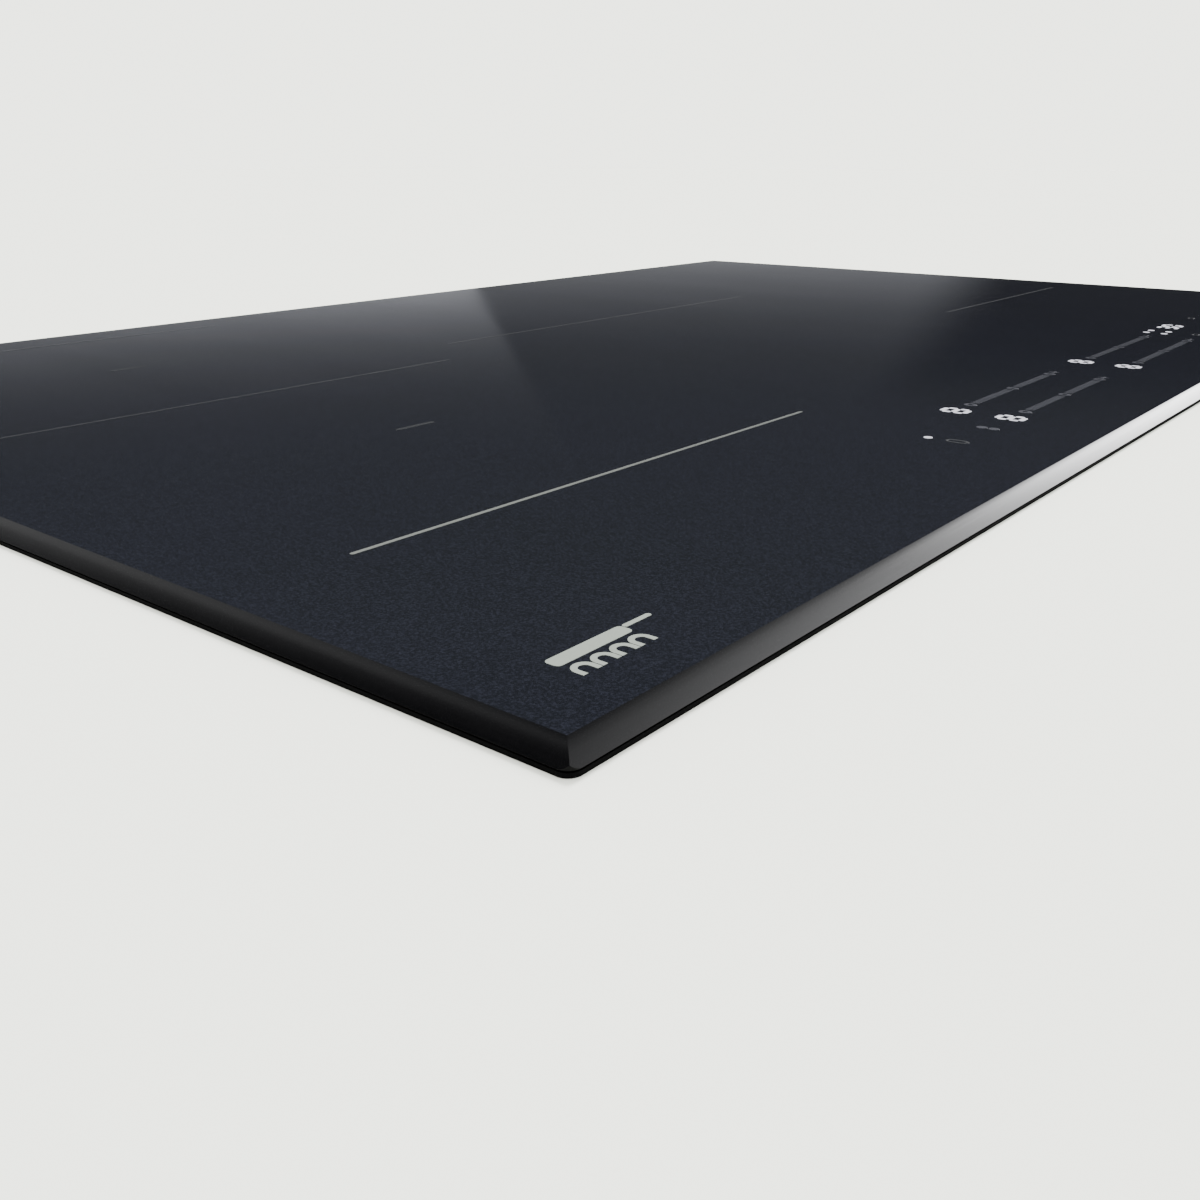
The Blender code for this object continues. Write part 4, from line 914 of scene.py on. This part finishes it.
def coil_symbol(ink):
    """A generic induction sign by the front left corner: a plain pan over the humps of a coil."""
    body = bmesh.new()
    left, front = SYMBOL_PLACE
    for number in range(SYMBOL_HUMPS):
        centre = on_glass((left + (number + 0.5) * SYMBOL_PITCH, front))
        flat_print(body, hump(centre, SYMBOL_HUMP_REACH, SYMBOL_HUMP_REACH - SYMBOL_STROKE))
    width = SYMBOL_HUMPS * SYMBOL_PITCH
    pan = (left + width / 2, front + SYMBOL_PAN_RISE)
    flat_print(body, bar(on_glass(pan), (width, SYMBOL_PAN_HEIGHT), SYMBOL_PAN_ROUNDNESS))
    handle_x = left + width + SYMBOL_HANDLE / 2 + SYMBOL_HANDLE_GAP
    handle = (handle_x, pan[1] + SYMBOL_HANDLE_RISE * SYMBOL_PAN_HEIGHT)
    flat_print(body, bar(on_glass(handle), (SYMBOL_HANDLE, SYMBOL_STROKE)))
    print_piece("coil_symbol", body, ink)


def hump(foot, outer, inner):
    """The outline of one hump of the coil sign: half a ring on two short legs."""
    x, y = foot[0], foot[1] + SYMBOL_LEG
    round_side = [math.pi * step / SYMBOL_HUMP_STEPS for step in range(SYMBOL_HUMP_STEPS + 1)]
    points = [(x + outer, foot[1])]
    points += [(x + outer * math.cos(a), y + outer * math.sin(a)) for a in round_side]
    points += [(x - outer, foot[1]), (x - inner, foot[1])]
    points += [(x + inner * math.cos(a), y + inner * math.sin(a)) for a in reversed(round_side)]
    points.append((x + inner, foot[1]))
    return points


# ============================================================
# Fasteners and pressed shapes on the housing
# ============================================================
def on_wall(box, side, along, up, out):
    """A world point by a box's side wall: a distance along the wall, a height, and a distance out."""
    low, high = box
    return {
        "front": (along, low.y - out, up),
        "rear": (along, high.y + out, up),
        "left": (low.x - out, along, up),
        "right": (high.x + out, along, up),
    }[side]


def cross_outline(arm, half_width):
    """Angles and radii of a plus-shaped recess, to skin round rings to it point by point."""
    corner = math.atan2(half_width, arm)
    middle = math.pi / 4
    first_half = (corner, (corner + middle) / 2, middle)
    second_half = ((3 * middle - corner) / 2, 2 * middle - corner, 2 * middle)
    outline = []
    for turn in range(4):
        for angle in first_half + second_half:
            across = max(abs(math.cos(angle)), WELD)
            up = max(abs(math.sin(angle)), WELD)
            flat = min(arm / across, half_width / up)
            upright = min(half_width / across, arm / up)
            outline.append((angle + turn * math.pi / 2, max(flat, upright)))
    return outline


def pan_screw(body, box, side, along, up):
    """A domed screw head with a cross recess, standing on a wall."""
    cross = cross_outline(SCREW_CROSS_ARM, SCREW_CROSS_HALF_WIDTH)
    rings = []
    for share, height in SCREW_DOME:
        rings.append([(angle, share * SCREW_RADIUS, height * SCREW_HEIGHT) for angle, _ in cross])
    rings.append([(angle, radius, SCREW_HEIGHT) for angle, radius in cross])
    bottom = SCREW_CROSS_FLOOR * SCREW_HEIGHT
    rings.append([(angle, SCREW_CROSS_TAPER * radius, bottom) for angle, radius in cross])
    placed = []
    for ring in rings:
        points = [(along + r * math.cos(a), up + r * math.sin(a), h) for a, r, h in ring]
        placed.append([on_wall(box, side, *point) for point in points])
    loft(body, placed)


def raised_bar(body, box, side, centre, size, height):
    """A long pressed bead or moulded rib with soft shoulders, standing on a wall."""
    rings = []
    for inset, rise in BEAD_PROFILE:
        lost = 2 * inset * min(size)
        outline = bar(centre, (size[0] - lost, size[1] - lost), BEAD_ROUNDNESS)
        rings.append([on_wall(box, side, along, up, rise * height) for along, up in outline])
    loft(body, rings)


def frame_screws(material):
    """Screws through the frame's skirt into the housing, all round."""
    body = bmesh.new()
    up = FRAME_LOW.z + SKIRT_HEIGHT / 2
    places = [(side, x) for side in ("front", "rear") for x in LONG_SIDE_SCREWS]
    places += [(side, y) for side in ("left", "right") for y in SHORT_SIDE_SCREWS]
    for side, along in places:
        pan_screw(body, (FRAME_LOW, FRAME_HIGH), side, along, up)
    mesh = mesh_from(body, "frame_screws", SCREW_SMOOTH_BELOW)
    piece = new_piece("frame_screws", mesh, material)
    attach(piece, HOB)


def wall_beads(material):
    """Beads pressed into the housing's walls to stiffen them, above and below the vents."""
    for side, (start, end) in BEAD_SPANS.items():
        name = f"wall_beads_{side}"
        size = (end - start, BEAD_WIDTH)
        body = bmesh.new()
        for up in BEAD_HEIGHTS:
            centre = ((start + end) / 2, up)
            raised_bar(body, (TRAY_LOW, TRAY_HIGH), side, centre, size, BEAD_RISE)
        piece = new_piece(name, mesh_from(body, name, BEAD_SMOOTH_BELOW), material)
        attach(piece, HOB)


def cover_ribs(material):
    """Moulded grip ribs across the terminal cover. They swing with it."""
    low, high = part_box("terminal_cover")
    face = (Vector(low), Vector((high.x, TRAY_HIGH.y + COVER_FACE, high.z)))
    centre_x = (low.x + high.x) / 2
    body = bmesh.new()
    for number in range(COVER_RIBS):
        up = COVER_RIB_START + number * COVER_RIB_PITCH
        raised_bar(body, face, "rear", (centre_x, up), COVER_RIB_SIZE, COVER_RIB_RISE)
    mesh = mesh_from(body, "terminal_cover_ribs", BEAD_SMOOTH_BELOW)
    piece = new_piece("terminal_cover_ribs", mesh, material)
    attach(piece, "terminal_cover")


# ============================================================
# Materials of the carried-over CAD nodes
# ============================================================
def paint_frame():
    """Each CAD node gets its slot's material, but windings their own strands, and the gland rubber."""
    recipes = {
        "black_glass": black_glass,
        # the seal's foam carries painted shade: it is made darker than black foam
        "black_seal": black_foam_in_painted_shade,
        "zinc_steel": zinc_steel,
        "aluminium": aluminium,
        "black_plastic": black_plastic,
        "white_plastic": white_plastic,
        "grey_ferrite": grey_ferrite,
        "pale_mica": pale_mica,
        "green_board": green_board,
        "dark_resin": dark_resin,
        "display_face": display_face,
    }
    made = {}
    for part in frame["record"]["subparts"]:
        name, slot = part["node"], part["material_slot"]
        if slot == "copper_litz":
            low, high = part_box(name)
            material = copper_litz(f"litz_{name}", (low + high) / 2)
        elif name == "cable_gland":
            material = black_rubber()
        else:
            if slot not in made:
                made[slot] = recipes[slot]()
            material = made[slot]
        mesh = frame["nodes"][name].data
        mesh.materials.clear()
        mesh.materials.append(material)
    return made


# ============================================================
# The stage
# ============================================================
def camera():
    """The camera: low and close, just outside the hob's front left corner, looking across the glass."""
    data = bpy.data.cameras.new("camera")
    data.lens = CAMERA_LENS
    data.sensor_width = CAMERA_SENSOR
    data.clip_start, data.clip_end = CAMERA_CLIP
    made = bpy.data.objects.new("camera", data)
    made.location = CAMERA_PLACE
    made.rotation_euler = CAMERA_HEADING.to_track_quat("-Z", "Y").to_euler()
    bpy.context.scene.collection.objects.link(made)
    bpy.context.scene.camera = made


def floor(material):
    """A wide floor just under the hob's housing."""
    body = bmesh.new()
    corners = [(-1, -1), (1, -1), (1, 1), (-1, 1)]
    body.faces.new([body.verts.new((FLOOR_HALF * x, FLOOR_HALF * y, FLOOR_Z)) for x, y in corners])
    new_piece("floor", mesh_from(body, "floor"), material)


def worktop(material):
    """A thin L-shaped corner of worktop under the seal, around the hob's front left corner only."""
    body = bmesh.new()
    left, right = WORKTOP_X
    front, back = WORKTOP_Y
    hole_left = FRAME_LOW.x - WORKTOP_HOLE_GAP
    hole_front = FRAME_LOW.y - WORKTOP_HOLE_GAP
    outline = [
        (left, front),
        (right, front),
        (right, hole_front),
        (hole_left, hole_front),
        (hole_left, back),
        (left, back),
    ]
    loft(body, [at_height(outline, WORKTOP_TOP - WORKTOP_THICK), at_height(outline, WORKTOP_TOP)])
    new_piece("worktop_corner", mesh_from(body, "worktop_corner"), material)


def height_at(elevation):
    """Height on the unit sphere at an elevation in degrees."""
    return math.sin(math.radians(elevation))


def direction(azimuth, elevation):
    """A unit vector: azimuth from +X towards +Y, elevation above the horizon, both in degrees."""
    turn = math.radians(azimuth)
    level = math.cos(math.radians(elevation))
    return (level * math.cos(turn), level * math.sin(turn), height_at(elevation))


class Sky:
    """The studio around the hob: a pale dome for light, and soft cards that only mirrors see."""

    def __init__(self):
        world = bpy.data.worlds.new("studio")
        world.use_nodes = True
        bpy.context.scene.world = world
        self.tree = world.node_tree
        self.ray = self.tree.nodes.new("ShaderNodeTexCoord").outputs["Generated"]

    def maths(self, operation, first, second):
        made = self.tree.nodes.new("ShaderNodeMath")
        made.operation = operation
        for number, value in enumerate((first, second)):
            if isinstance(value, bpy.types.NodeSocket):
                self.tree.links.new(value, made.inputs[number])
            else:
                made.inputs[number].default_value = value
        return made.outputs[0]

    def towards(self, axis):
        """How far a ray points along an axis, from -1 to 1."""
        made = self.tree.nodes.new("ShaderNodeVectorMath")
        made.operation = "DOT_PRODUCT"
        self.tree.links.new(self.ray, made.inputs[0])
        made.inputs[1].default_value = axis
        return made.outputs["Value"]

    def step(self, value, low, high, new_low, new_high):
        """The value taken smoothly from one range to another, and held at the ends."""
        made = self.tree.nodes.new("ShaderNodeMapRange")
        made.interpolation_type = "SMOOTHSTEP"
        self.tree.links.new(value, made.inputs[0])
        for number, setting in enumerate((low, high, new_low, new_high), 1):
            made.inputs[number].default_value = setting
        return made.outputs[0]

    def card(self, middle, radii, strength):
        """A round soft card: full strength within the first radius, nothing beyond the second."""
        near, far = [math.cos(math.radians(radius)) for radius in radii]
        return self.step(self.towards(direction(*middle)), far, near, 0.0, strength)

    def fade(self, value, rate):
        """The number e to the power of a value times a rate."""
        return self.maths("POWER", math.e, self.maths("MULTIPLY", value, rate))

    def glow(self, middle, tightness, strength):
        """A round glow that fades away from its middle without an edge."""
        beside = self.maths("SUBTRACT", self.towards(direction(*middle)), 1.0)
        return self.maths("MULTIPLY", self.fade(beside, tightness), strength)

    def edge(self, ends, softness, low, high):
        """A soft straight edge through two directions: low on one side of it, high on the other."""
        first, second = [Vector(direction(*end)) for end in ends]
        return self.step(self.towards(second.cross(first).normalized()), -softness, softness, low, high)

    def background(self, colour, strength):
        """Light of one colour, with a number or a socket as its strength."""
        made = self.tree.nodes.new("ShaderNodeBackground")
        made.inputs["Color"].default_value = (*colour, 1.0)
        if isinstance(strength, bpy.types.NodeSocket):
            self.tree.links.new(strength, made.inputs["Strength"])
        else:
            made.inputs["Strength"].default_value = strength
        return made.outputs[0]

    def join(self, kind, first, second, share=None):
        """Two backgrounds added, or mixed by a share."""
        made = self.tree.nodes.new(kind)
        if share is not None:
            self.tree.links.new(share, made.inputs[0])
        self.tree.links.new(first, made.inputs[len(made.inputs) - 2])
        self.tree.links.new(second, made.inputs[len(made.inputs) - 1])
        return made.outputs[0]

    def finish(self, haze, cards):
        """Mirror rays see the haze and the cards, the camera a plain backdrop, all others the dome."""
        ray = self.tree.nodes.new("ShaderNodeLightPath").outputs
        dome = self.background(DOME_TINT, DOME_LIGHT)
        lit = DOME_LIGHT + KEY_LIGHT * KEY_HEADING.normalized().z / math.pi
        backdrop = self.background(toned(FLOOR_TONE, lit), 1.0)
        haze_light = self.background(HAZE_TINT, haze)
        card_light = self.background(CARD_TINT, cards)
        mirrored = self.join("ShaderNodeAddShader", haze_light, card_light)
        seen = self.join("ShaderNodeMixShader", dome, backdrop, ray["Is Camera Ray"])
        seen = self.join("ShaderNodeMixShader", seen, mirrored, ray["Is Glossy Ray"])
        self.tree.links.new(seen, self.tree.nodes["World Output"].inputs["Surface"])


def mirrored_haze(sky):
    """A low haze, brighter beyond a slanting edge, and a faint high one. Low down they dim at the right."""
    height = sky.towards((0.0, 0.0, 1.0))
    low_haze = sky.maths("MULTIPLY", sky.fade(height, LOW_HAZE_FADE), LOW_HAZE_START)
    low_haze = sky.maths("MINIMUM", low_haze, 1.0)
    beyond = sky.edge(LOW_HAZE_EDGE, LOW_HAZE_EDGE_SOFTNESS, 1.0, LOW_HAZE_BEYOND)
    low_haze = sky.maths("MULTIPLY", low_haze, beyond)
    right_end = sky.edge(RIGHT_END, RIGHT_END_SOFTNESS, RIGHT_END_DIM, 1.0)
    rise = sky.step(height, *map(height_at, HIGH_HAZE_RISE), HIGH_HAZE_DIM, 1.0)
    fall = sky.step(height, *map(height_at, HIGH_HAZE_FALL), *HIGH_HAZE_STRENGTH)
    high_haze = sky.maths("MULTIPLY", sky.maths("MAXIMUM", right_end, rise), fall)
    return sky.maths("ADD", sky.maths("MULTIPLY", low_haze, right_end), high_haze)


def mirrored_cards(sky):
    """A bright window glow for the front slope with a wide faint one, and a card for the left slope."""
    card = sky.card(SIDE_CARD, SIDE_CARD_RADII, SIDE_CARD_STRENGTH)
    card_edge = sky.edge(SIDE_CARD_EDGE, SIDE_CARD_EDGE_SOFTNESS, SIDE_CARD_DIM, 1.0)
    side_card = sky.maths("MULTIPLY", card, card_edge)
    near_glow = sky.glow(WINDOW_GLOW, WINDOW_GLOW_TIGHTNESS, WINDOW_GLOW_STRENGTH)
    wide_glow = sky.glow(WIDE_GLOW, WIDE_GLOW_TIGHTNESS, WIDE_GLOW_STRENGTH)
    window = sky.maths("ADD", near_glow, wide_glow)
    window = sky.maths("MULTIPLY", window, sky.edge(WINDOW_EDGE, WINDOW_EDGE_SOFTNESS, 0.0, 1.0))
    return sky.maths("ADD", window, side_card)


def studio():
    """The dome, what the glass mirrors, and the key light."""
    sky = Sky()
    sky.finish(mirrored_haze(sky), mirrored_cards(sky))
    key_light()


def key_light():
    """A broad, even light from behind on the right. Mirrors don't show it."""
    data = bpy.data.lights.new("key", "SUN")
    data.angle = math.radians(KEY_ANGLE)
    data.energy = KEY_LIGHT
    made = bpy.data.objects.new("key", data)
    made.rotation_euler = KEY_HEADING.to_track_quat("Z", "Y").to_euler()
    made.visible_glossy = False
    bpy.context.scene.collection.objects.link(made)


# ============================================================
# The scene
# ============================================================
def build():
    """The stage first, then the frame's materials, then every piece that is added to the frame."""
    camera()
    studio()
    pale = pale_floor()
    floor(pale)
    worktop(pale)
    made = paint_frame()
    glass_plate(made["black_glass"], ground_edge(), raw_edge())
    zone_marks(
        # one zone ink in three tones, as painted light and shade by distance from the front left corner
        enamel("front_zone_ink", *FRONT_ZONE_INK),
        enamel("rear_zone_ink", *REAR_ZONE_INK),
        enamel("far_zone_ink", *FAR_ZONE_INK),
    )
    coil_symbol(enamel("symbol_ink", *SYMBOL_INK))
    lit = lit_mark("lit_white", LIT_TONE, LIT_GLOW)
    controls(lit, enamel("slider_ink", *SLIDER_INK), enamel("key_ink", *KEY_INK))
    frame_screws(screw_steel())
    wall_beads(made["zinc_steel"])
    cover_ribs(made["black_plastic"])


build()
